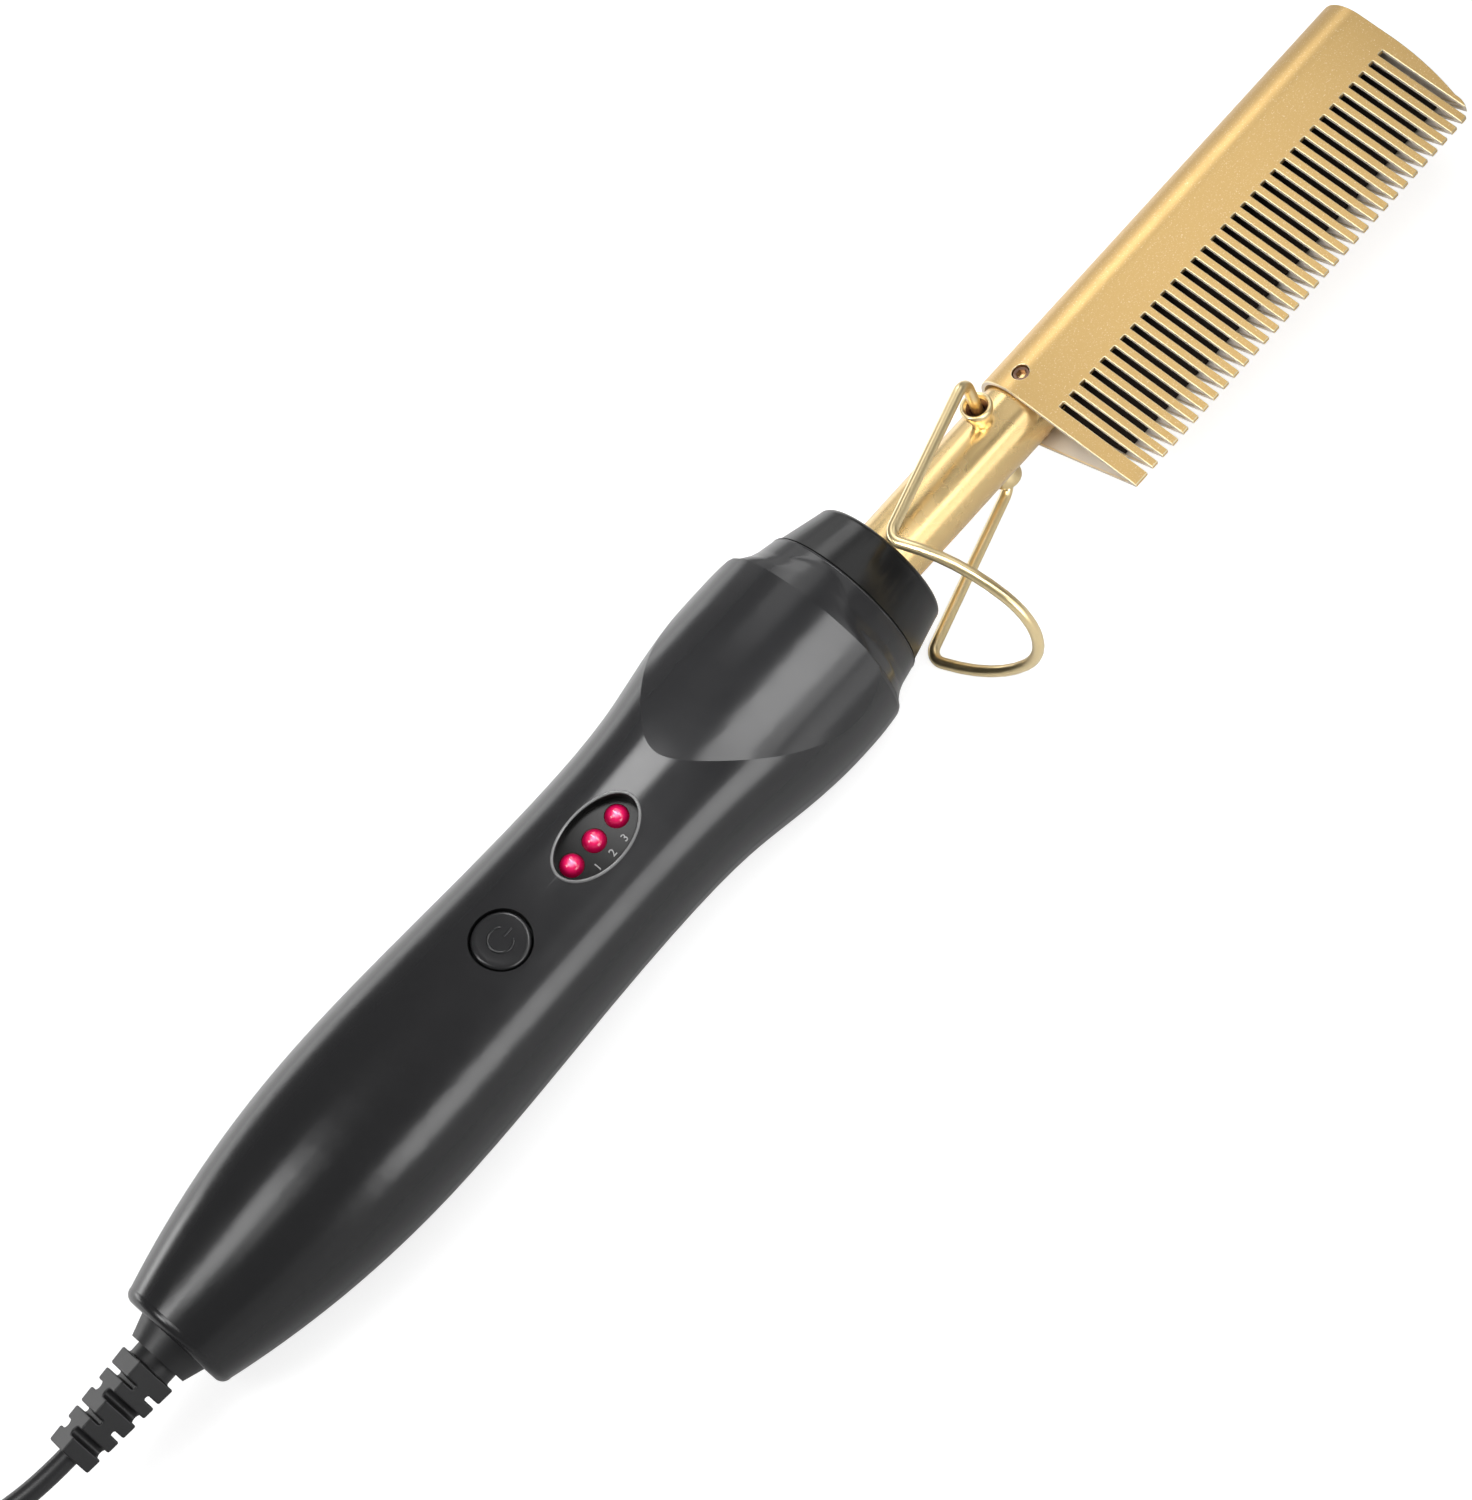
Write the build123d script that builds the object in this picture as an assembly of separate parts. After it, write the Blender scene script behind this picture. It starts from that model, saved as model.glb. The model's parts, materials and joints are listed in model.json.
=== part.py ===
from build123d import *
import math
import os

# Electric hot comb lying on its side. Millimetres, +Z up, +X from the butt of the grip to the comb.
# The pieces are modelled about the tool's own axis, x measured from the butt face, the comb's teeth
# pointing to -Y and the comb plane flat. "place" then stands the finished tool on z = 0.

os.makedirs("parts", exist_ok=True)

# Clearances
fixed_gap = 0.05            # between pieces that are fixed together
running_gap = 0.08          # round pieces that turn or slide
lip_gap = 0.1               # round the lip between the two grip shells

# Grip, the moulded handle
grip_length = 159.0         # butt face to the seam with the nose collar
grip_wall = 2.4
butt_wall = 3.0
butt_radius = 10.0
butt_rounding = 1.8
belly_x = 50.0
belly_radius = 16.95
waist_x = 101.0
waist_radius = 15.45
shoulder_x = 139.0
shoulder_radius = 18.95
rim_x = 151.0               # front rim of the shoulder
rim_drop = 0.35             # how much the radius falls from shoulder to rim
rim_step_length = 4.4       # slope from the rim down to the nose
nose_radius = 15.9          # nose just ahead of the rim
seam_radius = 15.15
flat_half_height = 16.0     # half height of the flattened oval shoulder
flat_side_play = 0.5        # the oval's half width stands this far outside the shoulder
flat_turn = 7.5             # degrees that the oval is turned back from the button side
rim_flat_drop = 0.65        # step down from the flat shoulder to the flat of the nose
grip_roll = 17.5            # degrees that the button side leans towards the teeth
lip_height = 0.9
lip_thickness = 1.2
mouth_depth = 7.0           # straight mouth that takes the collar's spigot

# Nose collar
collar_length = 9.6
collar_back_radius = 14.9
collar_front_radius = 12.75
collar_rounding = 1.2
collar_wall = 2.1
collar_front_wall = 2.6
spigot_length = 6.2
spigot_radius = 12.7
washer_thickness = 1.0

# Barrel tube and the comb head on it
tube_radius = 6.25
tube_wall = 0.8
tube_back_x = 140.0
tube_front_x = 213.6
flange_radius = 9.5
flange_thickness = 2.2
rib_thickness = 1.9
comb_back_x = 202.5
comb_front_x = 292.5
comb_round_radius = 7.5
comb_wall = 0.8
comb_depth = 26.6           # tube axis to the tips of the teeth
comb_tip_thickness = 0.7    # both plates together, at the tips
comb_end_wall = 2.4
slot_count = 33
slot_pitch = 2.59
slot_width = 1.2
first_slot = 3.55           # from the comb's back edge to the first slot's centre
slot_root_depth = 8.7
toe_radius = 2.0            # small corner at the end tooth's tip
toe_inset = 2.1             # how far the end tooth leans back before that corner
toe_start_depth = 8.8
heel_radius = 3.0
head_screw_x = 206.4
head_screw_radius = 1.45
head_screw_recess = 0.5
head_screw_length = 2.0
heater_radius = 6.2
heater_back_x = 214.6
heater_flat_depth = 5.2
blade_back_x = 206.6        # thin blade of the heater between the plates
blade_depth = 20.6
blade_thickness = 1.2
blade_tube_gap = 0.4

# Folding wire stand
stand_x = 196.2
stand_wire_radius = 1.0
stand_upper_bend = 18.0     # height of the bend over each stud; the legs then spread or close
stand_lower_bend = 13.4     # to the foot
stand_half_spread = 16.0
stand_leg = 32.0
stand_leg_skew = 1.65       # one leg is bent this much shorter, the other this much longer
stand_angle = 16.1          # degrees between the legs and the tool's axis
stand_foot_straight = 3.0
stand_foot_depth = 23.5
stand_bend = 2.6
stud_height = 10.65
stud_base_radius = 1.9
stud_rim_radius = 2.8
stud_mouth_radius = 1.9
stud_bore_floor = 7.3

# Power button, lamps and board, under the top of the grip
button_x = 78.55
button_radius = 4.8
button_hole_radius = 5.2
button_sink = 0.15
button_flange_radius = 6.2
button_flange_top = 12.0
button_flange_thickness = 1.0
button_travel = 0.8
plunger_radius = 1.7
switch_side = 6.0
press_gap = 0.3             # left between the pressed button's flange and the switch
board_x = 66.0
board_length = 48.0
board_half_width = 9.2
board_top = 8.0
board_thickness = 1.6
board_post_radius = 2.0
board_post_inset = 4.5
board_post_side = 6.2
board_screw_radius = 0.95
board_screw_head = 1.7
window_x = 100.7
window_side = 0.0
window_half_length = 8.9
window_half_width = 5.35
window_rim = 0.5
window_proud = 0.1
window_floor = 13.0
window_floor_thickness = 1.0
window_flange = 1.2
window_flange_bottom = 10.3
lamp_pitch = 5.29
lamp_middle_x = 100.45
lamp_side = 0.4
lamp_radius = 2.0
lamp_dome_top = 14.6
lamp_collar_radius = 2.4
lamp_collar_height = 1.0

# Screws that hold the two grip shells together: distance along the grip, distance to the side
shell_screw_places = [(24.0, 0.0), (124.0, 8.6), (124.0, -8.6)]
shell_screw_radius = 1.2
shell_screw_head = 2.6
shell_screw_head_height = 1.8
shell_screw_seat = 6.0
shell_screw_depth = 6.5
screw_boss_radius = 2.9
counterbore_boss_radius = 4.0

# Cord swivel at the butt
swivel_radius = 5.6
swivel_stub = 3.6
swivel_stub_radius = 6.5
swivel_stub_end_radius = 5.3
swivel_flange_radius = 8.0
swivel_flange_thickness = 2.0
swivel_sleeve_end = 6.5
neck_radius = 3.85
neck_back_x = -5.65
keeper_radius = 5.4
keeper_thickness = 2.0
relief_length = 17.85
relief_back_side = 7.8      # square side at the swivel
relief_tip_side = 6.0       # square side at the cord
relief_roll = -29.0
relief_web = 2.6            # what each pair of notches leaves
side_notch_width = 1.6
face_notch_width = 0.9
side_notches = [6.9, 14.3]  # from the start of the ribbed bar
face_notches = [3.5, 10.8]
slip_ring_radius = 3.2
slip_ring_length = 2.0
slip_pin_radius = 1.3
slip_pin_length = 3.4
terminal_x = 15.0
terminal_thickness = 3.5
terminal_radius = 9.0
terminal_bore = 2.0
brush_side = 1.2
brush_back_x = 9.0
supply_lead_radius = 0.9
supply_lead_side = 5.0
supply_lead_rise_x = 74.0
heater_lead_radius = 0.75
heater_lead_side = 3.0
heater_lead_rise_x = 106.0
lead_bend = 2.5
fuse_x = 123.5
fuse_length = 9.0
fuse_radius = 1.9

# Cord, coil and plug, in the placed tool's frame
cord_radius = 1.75
cord_route = [
    (-158.0, 6.75, 17.0),
    (-164.0, 6.75, 17.0),
    (-172.0, 8.1, 16.9),
    (-181.0, 12.0, 15.0),
    (-191.0, 17.0, 11.2),
    (-202.0, 21.4, 6.9),
    (-212.5, 24.3, 3.7),
    (-222.5, 25.0, 2.45),
]
coil_x = -229.0
coil_y = -0.25
coil_radius = 20.0
coil_turns_wide = 4
coil_turns_high = 4
coil_bottom = 0.6
tail_route = [
    (-239.7, 22.6, 12.95),
    (-250.5, 17.5, 12.5),
    (-263.0, 11.9, 10.3),
    (-273.5, 7.2, 8.0),
    (-282.0, 4.6, 6.85),
    (-288.5, 4.6, 6.85),
]
tie_width = 8.0
tie_thickness = 0.6
plug_height = 13.7
plug_width = 35.3
plug_front_width = 26.0
plug_length = 36.0
plug_neck_length = 9.0
plug_neck_radius = 4.2
pin_radius = 2.0
pin_length = 19.0
pin_spacing = 18.6
pin_seat = 6.0
pin_shank_radius = 1.5


# ---- shapes used by several pieces ----

def disc(radius, x0, x1):
    """Cylinder along X from x0 to x1."""
    return extrude(Plane.YZ.offset(x0) * Circle(radius), amount=x1 - x0)


def ring(outer, inner, x0, x1):
    """Tube along X from x0 to x1."""
    return disc(outer, x0, x1) - disc(inner, x0 - 1, x1 + 1)


def post(x, side, radius, z0, z1):
    """Cylinder along Z at distance x along the grip and side across it."""
    return Pos(x, side, z0) * extrude(Circle(radius), amount=z1 - z0)


def oval_post(x, side, half_length, half_width, z0, z1):
    """Elliptic column along Z."""
    return Pos(x, side, z0) * extrude(Ellipse(half_length, half_width), amount=z1 - z0)


def block(x0, x1, y0, y1, z0, z1):
    """Box between two corners."""
    centre = Pos((x0 + x1) / 2, (y0 + y1) / 2, (z0 + z1) / 2)
    return centre * Box(x1 - x0, y1 - y0, z1 - z0)


def turned(edges):
    """Solid turned about the X axis from a closed outline in the XY plane."""
    return revolve(make_face(edges), Axis.X, 360)


def round_bar(route, radius, corner_radii):
    """Round bar along straight runs joined by tangent arcs."""
    path = FilletPolyline(*route, radius=corner_radii)
    return sweep(Plane(path ^ 0) * Circle(radius), path=path)


def easy_radii(route):
    """The largest comfortable arc at each corner of a limp cord's route."""
    points = [Vector(*p) for p in route]
    radii = []
    for before, corner, after in zip(points, points[1:], points[2:]):
        run_in = corner - before
        run_out = after - corner
        turn = math.radians(run_in.get_angle(run_out))
        radii.append(0.45 * min(run_in.length, run_out.length) / math.tan(turn / 2))
    return radii


# ---- grip ----

def ease(t):
    """Smooth rise from 0 to 1."""
    t = min(max(t, 0.0), 1.0)
    return t * t * (3 - 2 * t)


def grip_radius(x):
    """Outer radius of the grip at distance x from the butt face."""
    if x < belly_x:
        return belly_radius - (belly_radius - butt_radius) * (1 - x / belly_x) ** 2.08
    if x < waist_x:
        fall = ease((x - belly_x) / (waist_x - belly_x))
        return belly_radius + (waist_radius - belly_radius) * fall
    if x < shoulder_x:
        rise = ease(((x - waist_x) / (shoulder_x - waist_x)) ** 1.6)
        return waist_radius + (shoulder_radius - waist_radius) * rise
    return shoulder_radius - rim_drop * ((x - shoulder_x) / (rim_x - shoulder_x)) ** 2


def grip_curve(x0, x1, offset, count):
    """Smooth curve at a fixed offset from the grip's outline."""
    places = [x0 + (x1 - x0) * i / count for i in range(count + 1)]
    return Spline(*[(x, grip_radius(x) + offset) for x in places])


def outside_oval(x0, x1, half_height):
    """Everything round the oval that flattens the shoulder and nose, from x0 to x1."""
    oval = extrude(Plane.YZ.offset(x0) * Ellipse(shoulder_radius + flat_side_play, half_height),
                   amount=x1 - x0)
    return disc(shoulder_radius + 5, x0, x1) - Rot(X=-flat_turn) * oval


def grip_outer():
    """Full outer form of the grip, with its flattened shoulder."""
    side = grip_curve(butt_rounding, rim_x, 0, 14)
    start = side @ 0
    rim_end = rim_x + 0.6
    step_end = rim_x + rim_step_length
    butt = ThreePointArc(
        (0, start.Y - butt_rounding),
        (butt_rounding * 0.29, start.Y - butt_rounding * 0.29),
        start,
    )
    edge = Polyline(
        side @ 1,
        (rim_end, grip_radius(rim_x) - 0.25),
        (rim_end + 0.25, grip_radius(rim_x) - 0.8),
        (step_end - 1.5, nose_radius + 0.55),
        (step_end, nose_radius),
        (grip_length, seam_radius),
        (grip_length, 0),
        (0, 0),
        butt @ 0,
    )
    body = turned(butt + side + edge)
    body -= outside_oval(waist_x, rim_end + 0.4, flat_half_height)
    return body - outside_oval(rim_end + 0.4, grip_length + 1, flat_half_height - rim_flat_drop)


def grip_core(offset, x0, x1):
    """Solid inside the grip's outline, at an offset from it."""
    side = grip_curve(x0, x1, offset, 8)
    rest = Polyline(side @ 1, (x1, 0), (x0, 0), side @ 0)
    return turned(side + rest)


def cavity(extra):
    """Hollow of the grip, grown by extra."""
    inner = waist_radius - grip_wall
    back = grip_core(extra - grip_wall, butt_wall, waist_x)
    front = disc(inner + extra, waist_x, grip_length - mouth_depth)
    mouth = disc(spigot_radius + fixed_gap, grip_length - mouth_depth, grip_length + 1)
    return back + front + mouth


def support_ring(bore, x0, thickness):
    """Rib ring inside the shells, which a round piece seats in."""
    return ring(belly_radius, bore, x0, x0 + thickness)


def washer_back():
    """Rear face of the heat washer, which the collar's spigot presses on the front rib."""
    return grip_length - spigot_length - washer_thickness


def flange_back():
    """Rear face of the tube flange, clamped between two ribs."""
    return washer_back() - rib_thickness - flange_thickness


def grip_inside():
    """Everything that is hollow in the two shells, ribs and bosses left standing."""
    hollow = cavity(0)
    hollow -= support_ring(tube_radius + fixed_gap, washer_back() - rib_thickness, rib_thickness)
    hollow -= support_ring(tube_radius + fixed_gap, flange_back() - rib_thickness, rib_thickness)
    hollow -= support_ring(terminal_radius - 1.2, terminal_x - 1.2, 1.2)
    hollow -= support_ring(terminal_radius - 1.2, terminal_x + terminal_thickness, 1.2)
    for x, side in shell_screw_places:
        hollow -= post(x, side, screw_boss_radius, -belly_radius, belly_radius)
        hollow -= post(x, side, counterbore_boss_radius, -belly_radius, 1.2 - shell_screw_seat)
    return hollow


def board_posts():
    """Places of the four board screws."""
    ends = (board_x + board_post_inset, board_x + board_length - board_post_inset / 2)
    return [(x, side) for x in ends for side in (-board_post_side, board_post_side)]


def lip_band(height, extra):
    """Band round the parting line that carries the lip."""
    inner_face = cavity(0)
    band = cavity(lip_thickness + extra) - inner_face
    return band & block(butt_wall + 6, flange_back() - rib_thickness, -30, 30, -0.01, height)


def handle_shells(outer, inside):
    """Front shell with the button and lamp openings, rear shell with the screw counterbores."""
    hull = outer - inside - disc(swivel_radius + fixed_gap, -1, butt_wall + 1)
    front = hull & block(-5, grip_length + 5, -30, 30, 0, 30)
    rear = hull & block(-5, grip_length + 5, -30, 30, -30, 0)
    wall_core = cavity(grip_wall / 2)
    for x, side in board_posts():
        stem = post(x, side, board_post_radius, board_top, belly_radius) & wall_core
        front += stem
        front -= post(x, side, board_screw_radius + fixed_gap, board_top - 1, board_top + 4.5)
    front -= lip_band(lip_height + lip_gap, lip_gap)
    rear += lip_band(lip_height, 0)
    front -= post(button_x, 0, button_hole_radius, board_top, 30)
    front -= oval_post(window_x, window_side, window_half_length, window_half_width, board_top, 30)
    for x, side in shell_screw_places:
        front -= post(x, side, shell_screw_radius + fixed_gap, -1, shell_screw_depth + 1)
        rear -= post(x, side, shell_screw_radius + 0.2, -shell_screw_seat - 1, 1)
        rear -= post(x, side, shell_screw_head + 0.2, -30, -shell_screw_seat)
    return front, rear


def shell_screws():
    """Self-tapping screws, heads sunk in the rear shell."""
    screws = []
    for x, side in shell_screw_places:
        head = post(x, side, shell_screw_head, -shell_screw_seat - shell_screw_head_height,
                    -shell_screw_seat)
        shank = post(x, side, shell_screw_radius, -shell_screw_seat, shell_screw_depth)
        screws.append(head + shank)
    return screws


def nose_collar():
    """Collar that closes the grip round the barrel tube, with a spigot into the grip."""
    bore = tube_radius + fixed_gap
    front = grip_length + collar_length
    back = grip_length - spigot_length
    arc_x = front - collar_rounding
    arc_y = collar_front_radius - collar_rounding
    bend = ThreePointArc(
        (arc_x, collar_front_radius),
        (arc_x + collar_rounding * 0.707, arc_y + collar_rounding * 0.707),
        (front, arc_y),
    )
    rest = Polyline(
        bend @ 1,
        (front, bore),
        (front - collar_front_wall, bore),
        (front - collar_front_wall, spigot_radius - collar_wall),
        (back, spigot_radius - collar_wall),
        (back, spigot_radius),
        (grip_length, spigot_radius),
        (grip_length, collar_back_radius),
        bend @ 0,
    )
    return turned(bend + rest)


# ---- barrel, comb and heater ----

def barrel_tube():
    """Steel tube from the grip to the comb."""
    tube = ring(tube_radius, tube_radius - tube_wall, tube_back_x, tube_front_x)
    return tube - post(head_screw_x, 0, head_screw_radius + fixed_gap, 0, comb_round_radius)


def plate_lean():
    """Angle at which each plate leaves the round back to meet the other at the tips."""
    half_tip = comb_tip_thickness / 2
    reach = math.hypot(comb_depth, half_tip)
    return math.asin(comb_round_radius / reach) - math.atan2(half_tip, comb_depth)


def comb_section(radius, depth):
    """Round back with two plates that lean together, as a face across the tool's axis."""
    lean = plate_lean()
    left = (-radius * math.sin(lean), radius * math.cos(lean))
    right = (left[0], -left[1])
    tip = (radius - depth * math.sin(lean)) / math.cos(lean)
    back = ThreePointArc(left, (radius, 0), right)
    if tip > 0:
        plates = Polyline(right, (-depth, -tip), (-depth, tip), left)
    else:
        plates = Polyline(right, (-radius / math.sin(lean), 0), left)
    return make_face(back + plates)


def comb_outline():
    """Side outline of the comb, with its rounded heel and toe, as a column along Z."""
    back_edge = comb_round_radius + 1.5
    heel_side = back_edge - heel_radius - 1.0
    toe_x = comb_front_x - toe_inset
    toe_side = toe_radius * 1.9 - comb_depth
    tip_x = toe_x - toe_radius * 1.25
    heel = ThreePointArc(
        (comb_front_x - heel_radius, heel_side + heel_radius),
        (comb_front_x - heel_radius * 0.293, heel_side + heel_radius * 0.707),
        (comb_front_x, heel_side),
    )
    sweep_side = (toe_side - toe_start_depth) / 2
    belly = ThreePointArc(
        (comb_front_x, -toe_start_depth),
        (comb_front_x - toe_inset * 0.27, sweep_side),
        (toe_x, toe_side),
    )
    toe = ThreePointArc(
        (toe_x, toe_side),
        (toe_x - toe_radius * 0.36, toe_side - toe_radius * 1.3),
        (tip_x, -comb_depth),
    )
    rest = Polyline(
        toe @ 1,
        (comb_back_x - 1, -comb_depth),
        (comb_back_x - 1, heel_side + heel_radius),
        heel @ 0,
    )
    side = Line(heel @ 1, belly @ 0)
    column = extrude(make_face(heel + side + belly + toe + rest), amount=2 * comb_round_radius + 4)
    return Pos(0, 0, -comb_round_radius - 2) * column


def comb_head():
    """Hollow comb: round back over the tube, two slotted plates, closed far end."""
    length = comb_front_x - comb_back_x
    outer = extrude(Plane.YZ.offset(comb_back_x) * comb_section(comb_round_radius, comb_depth + 0.5),
                    amount=length)
    inner = extrude(Plane.YZ.offset(comb_back_x - 1)
                    * comb_section(comb_round_radius - comb_wall, comb_depth + 1),
                    amount=length + 1 - comb_end_wall)
    comb = (outer & comb_outline()) - inner
    slot = block(-slot_width / 2, slot_width / 2, -comb_depth - 2, -slot_root_depth,
                 -comb_round_radius, comb_round_radius)
    places = [comb_back_x + first_slot + slot_pitch * i for i in range(slot_count)]
    comb -= [Pos(x, 0, 0) * slot for x in places]
    return comb - post(head_screw_x, 0, head_screw_radius + fixed_gap, 0, comb_round_radius + 1)


def head_screw():
    """Grub screw that pins the comb to the tube."""
    top = comb_round_radius - head_screw_recess
    return post(head_screw_x, 0, head_screw_radius, top - head_screw_length, top)


def heater_core():
    """Heating rod inside the comb's back, with a thin blade that warms the roots of the teeth."""
    front = comb_front_x - comb_end_wall - 1.5
    rod = disc(heater_radius, heater_back_x, front)
    rod -= block(heater_back_x - 1, front + 1, -heater_radius - 1, -heater_flat_depth,
                 -heater_radius - 1, heater_radius + 1)
    half = blade_thickness / 2
    step = -tube_radius - blade_tube_gap
    root = block(heater_back_x, front, step, 1 - heater_flat_depth, -half, half)
    return rod + root + block(blade_back_x, front, -blade_depth, step, -half, half)


# ---- folding stand ----

def stud():
    """Flared cup welded on the tube, whose bore the stand turns in."""
    bore = stand_wire_radius + running_gap
    flare = Spline(
        (stud_base_radius, stud_bore_floor + 0.4),
        (stud_base_radius + 0.25, (stud_bore_floor + stud_height) / 2 + 0.2),
        (stud_rim_radius, stud_height - 0.4),
    )
    rest = Polyline(
        flare @ 1,
        (stud_rim_radius, stud_height),
        (stud_mouth_radius, stud_height),
        (bore, stud_height - 1.3),
        (bore, stud_bore_floor),
        (0, stud_bore_floor),
        (0, 0),
        (stud_base_radius, 0),
        flare @ 0,
    )
    cup = revolve(Plane.XZ * make_face(flare + rest), Axis.Z, 360)
    return Pos(stand_x, 0, 0) * cup - disc(tube_radius, stand_x - 5, stand_x + 5)


def foot_arcs(half_width, depth):
    """Radii of the foot's side arcs and end arc: 45, 90 and 45 degrees of turn."""
    side = math.sqrt(0.5)
    end_radius = (side * half_width - depth * (1 - side)) / (side * side - (1 - side) ** 2)
    side_radius = (half_width - side * end_radius) / (1 - side)
    return side_radius, end_radius


def stand_route():
    """Corners of the stand's wire and the arc at each."""
    lean = math.radians(stand_angle)
    along = Vector(-math.cos(lean), -math.sin(lean), 0)
    foot = Vector(math.sin(lean), -math.cos(lean), 0)
    up = Vector(0, 0, 1)
    pivot = Vector(stand_x, 0, 0)
    upper = pivot + along * (stand_leg - stand_leg_skew) + up * stand_half_spread
    lower = pivot + along * (stand_leg + stand_leg_skew) - up * stand_half_spread
    middle = (upper + lower) * 0.5
    half = (upper - lower) * 0.5
    half_width = half.length
    across = half * (1 / half_width)
    side_radius, end_radius = foot_arcs(half_width, stand_foot_depth - stand_foot_straight)
    start = stand_foot_straight + side_radius * math.tan(math.radians(22.5))
    crown = start + half_width
    inside = 0.99
    pin = up * (stud_bore_floor + fixed_gap)
    points = [
        pivot + pin,
        pivot + up * stand_upper_bend,
        upper,
        middle + foot * start + across * half_width,
        middle + foot * crown,
        middle + foot * start - across * half_width,
        lower,
        pivot - up * stand_lower_bend,
        pivot - pin,
    ]
    arcs = [stand_bend, stand_bend, side_radius * inside, end_radius * inside]
    return points, arcs + [arcs[2], stand_bend, stand_bend]


def stand_wire():
    """Bent wire: two pivot pins, two legs and the rounded foot."""
    points, arcs = stand_route()
    return round_bar(points, stand_wire_radius, arcs)


# ---- button, lamps and board ----

def power_button():
    """Cap that follows the grip's surface, on a flange that stops it under the shell."""
    cap = post(button_x, 0, button_radius, button_flange_top, belly_radius + 1)
    cap &= grip_core(-button_sink, button_x - 2 * button_radius, button_x + 2 * button_radius)
    return cap + post(button_x, 0, button_flange_radius,
                      button_flange_top - button_flange_thickness, button_flange_top)


def plunger_top():
    """Height where the plunger meets the button's flange."""
    return button_flange_top - button_flange_thickness


def switch_plunger():
    """Plunger between the button and the switch, clear of the board when pressed."""
    bottom = board_top + button_travel + fixed_gap
    return post(button_x, 0, plunger_radius, bottom, plunger_top())


def tact_switch():
    """Square switch body with the plunger's bore."""
    half = switch_side / 2
    top = plunger_top() - button_travel - press_gap
    body = block(button_x - half, button_x + half, -half, half, board_top, top)
    return body - post(button_x, 0, plunger_radius + running_gap, board_top - 1, board_top + 5)


def circuit_board():
    """Board screwed under the front shell."""
    board = block(board_x, board_x + board_length, -board_half_width, board_half_width,
                  board_top - board_thickness, board_top)
    for x, side in board_posts():
        board -= post(x, side, board_screw_radius + fixed_gap, 0, 20)
    return board


def board_screws():
    """Four screws from below the board into the shell's posts."""
    screws = []
    under = board_top - board_thickness
    for x, side in board_posts():
        head = post(x, side, board_screw_head, under - 1.2, under)
        screws.append(head + post(x, side, board_screw_radius, under, board_top + 4))
    return screws


def lamp_places():
    """Three lamps in a row along the grip."""
    return [lamp_middle_x + lamp_pitch * i for i in (-1, 0, 1)]


def led_lamps():
    """Round-topped lamps standing on the board."""
    lamps = []
    for x in lamp_places():
        lamp = post(x, lamp_side, lamp_radius, board_top, lamp_dome_top - lamp_radius)
        lamp += post(x, lamp_side, lamp_collar_radius, board_top, board_top + lamp_collar_height)
        lamp += Pos(x, lamp_side, lamp_dome_top - lamp_radius) * Sphere(lamp_radius)
        lamps.append(lamp)
    return lamps


def window_panel():
    """Oval cup that fills the lamp opening, with a rim at the surface and a flange below."""
    half_length = window_half_length - fixed_gap
    half_width = window_half_width - fixed_gap
    x0 = window_x - 2 * window_half_length
    x1 = window_x + 2 * window_half_length
    cup = oval_post(window_x, window_side, half_length, half_width, window_flange_bottom, 30)
    cup &= grip_core(window_proud, x0, x1)
    flange = oval_post(window_x, window_side, half_length + window_flange,
                       half_width + window_flange, window_flange_bottom, 30)
    flange &= disc(waist_radius - grip_wall - fixed_gap, waist_x - 1, x1) + grip_core(
        -grip_wall - fixed_gap, x0, waist_x)
    panel = cup + flange
    panel -= oval_post(window_x, window_side, half_length - window_rim, half_width - window_rim,
                       window_floor, 30)
    panel -= oval_post(window_x, window_side, half_length - window_rim, half_width - window_rim,
                       0, window_floor - window_floor_thickness)
    for x in lamp_places():
        panel -= post(x, lamp_side, lamp_radius + fixed_gap, 0, 30)
    return panel


# ---- cord swivel and leads ----

def swivel_socket():
    """Bush in the butt: tapered stub outside, barrel through the wall, flange inside."""
    outline = Polyline(
        (-swivel_stub, neck_radius + running_gap),
        (-swivel_stub, swivel_stub_end_radius),
        (0, swivel_stub_radius),
        (0, swivel_radius),
        (butt_wall, swivel_radius),
        (butt_wall, swivel_flange_radius),
        (butt_wall + swivel_flange_thickness, swivel_flange_radius),
        (butt_wall + swivel_flange_thickness, swivel_radius),
        (swivel_sleeve_end, swivel_radius),
        (swivel_sleeve_end, neck_radius + running_gap),
        (-swivel_stub, neck_radius + running_gap),
    )
    return turned(outline)


def ribbed_bar():
    """Tapered square bar, notched on its sides and faces by turns."""
    back = Plane.YZ * Rectangle(relief_back_side, relief_back_side)
    tip = Plane.YZ.offset(-relief_length) * Rectangle(relief_tip_side, relief_tip_side)
    bar = loft([back, tip])
    reach = relief_back_side
    for place in side_notches:
        half = side_notch_width / 2
        root = relief_web / 2 + half
        for side in (-1, 1):
            y0, y1 = sorted((side * root, side * reach))
            bar -= block(-place - half, -place + half, y0, y1, -reach, reach)
            bar -= post(-place, side * root, half, -reach, reach)
    for place in face_notches:
        half = face_notch_width / 2
        for side in (-1, 1):
            z0, z1 = sorted((side * relief_web / 2, side * reach))
            bar -= block(-place - half, -place + half, -reach, reach, z0, z1)
    return bar


def strain_relief():
    """Ribbed bar on a round neck, kept in the swivel by a flange."""
    neck = disc(neck_radius, neck_back_x, swivel_sleeve_end + running_gap)
    keeper = disc(keeper_radius, swivel_sleeve_end + running_gap,
                  swivel_sleeve_end + running_gap + keeper_thickness)
    return Rot(X=relief_roll) * (Pos(neck_back_x, 0, 0) * ribbed_bar()) + neck + keeper


def keeper_front():
    """Front face of the strain relief's keeper flange."""
    return swivel_sleeve_end + running_gap + keeper_thickness


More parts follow.
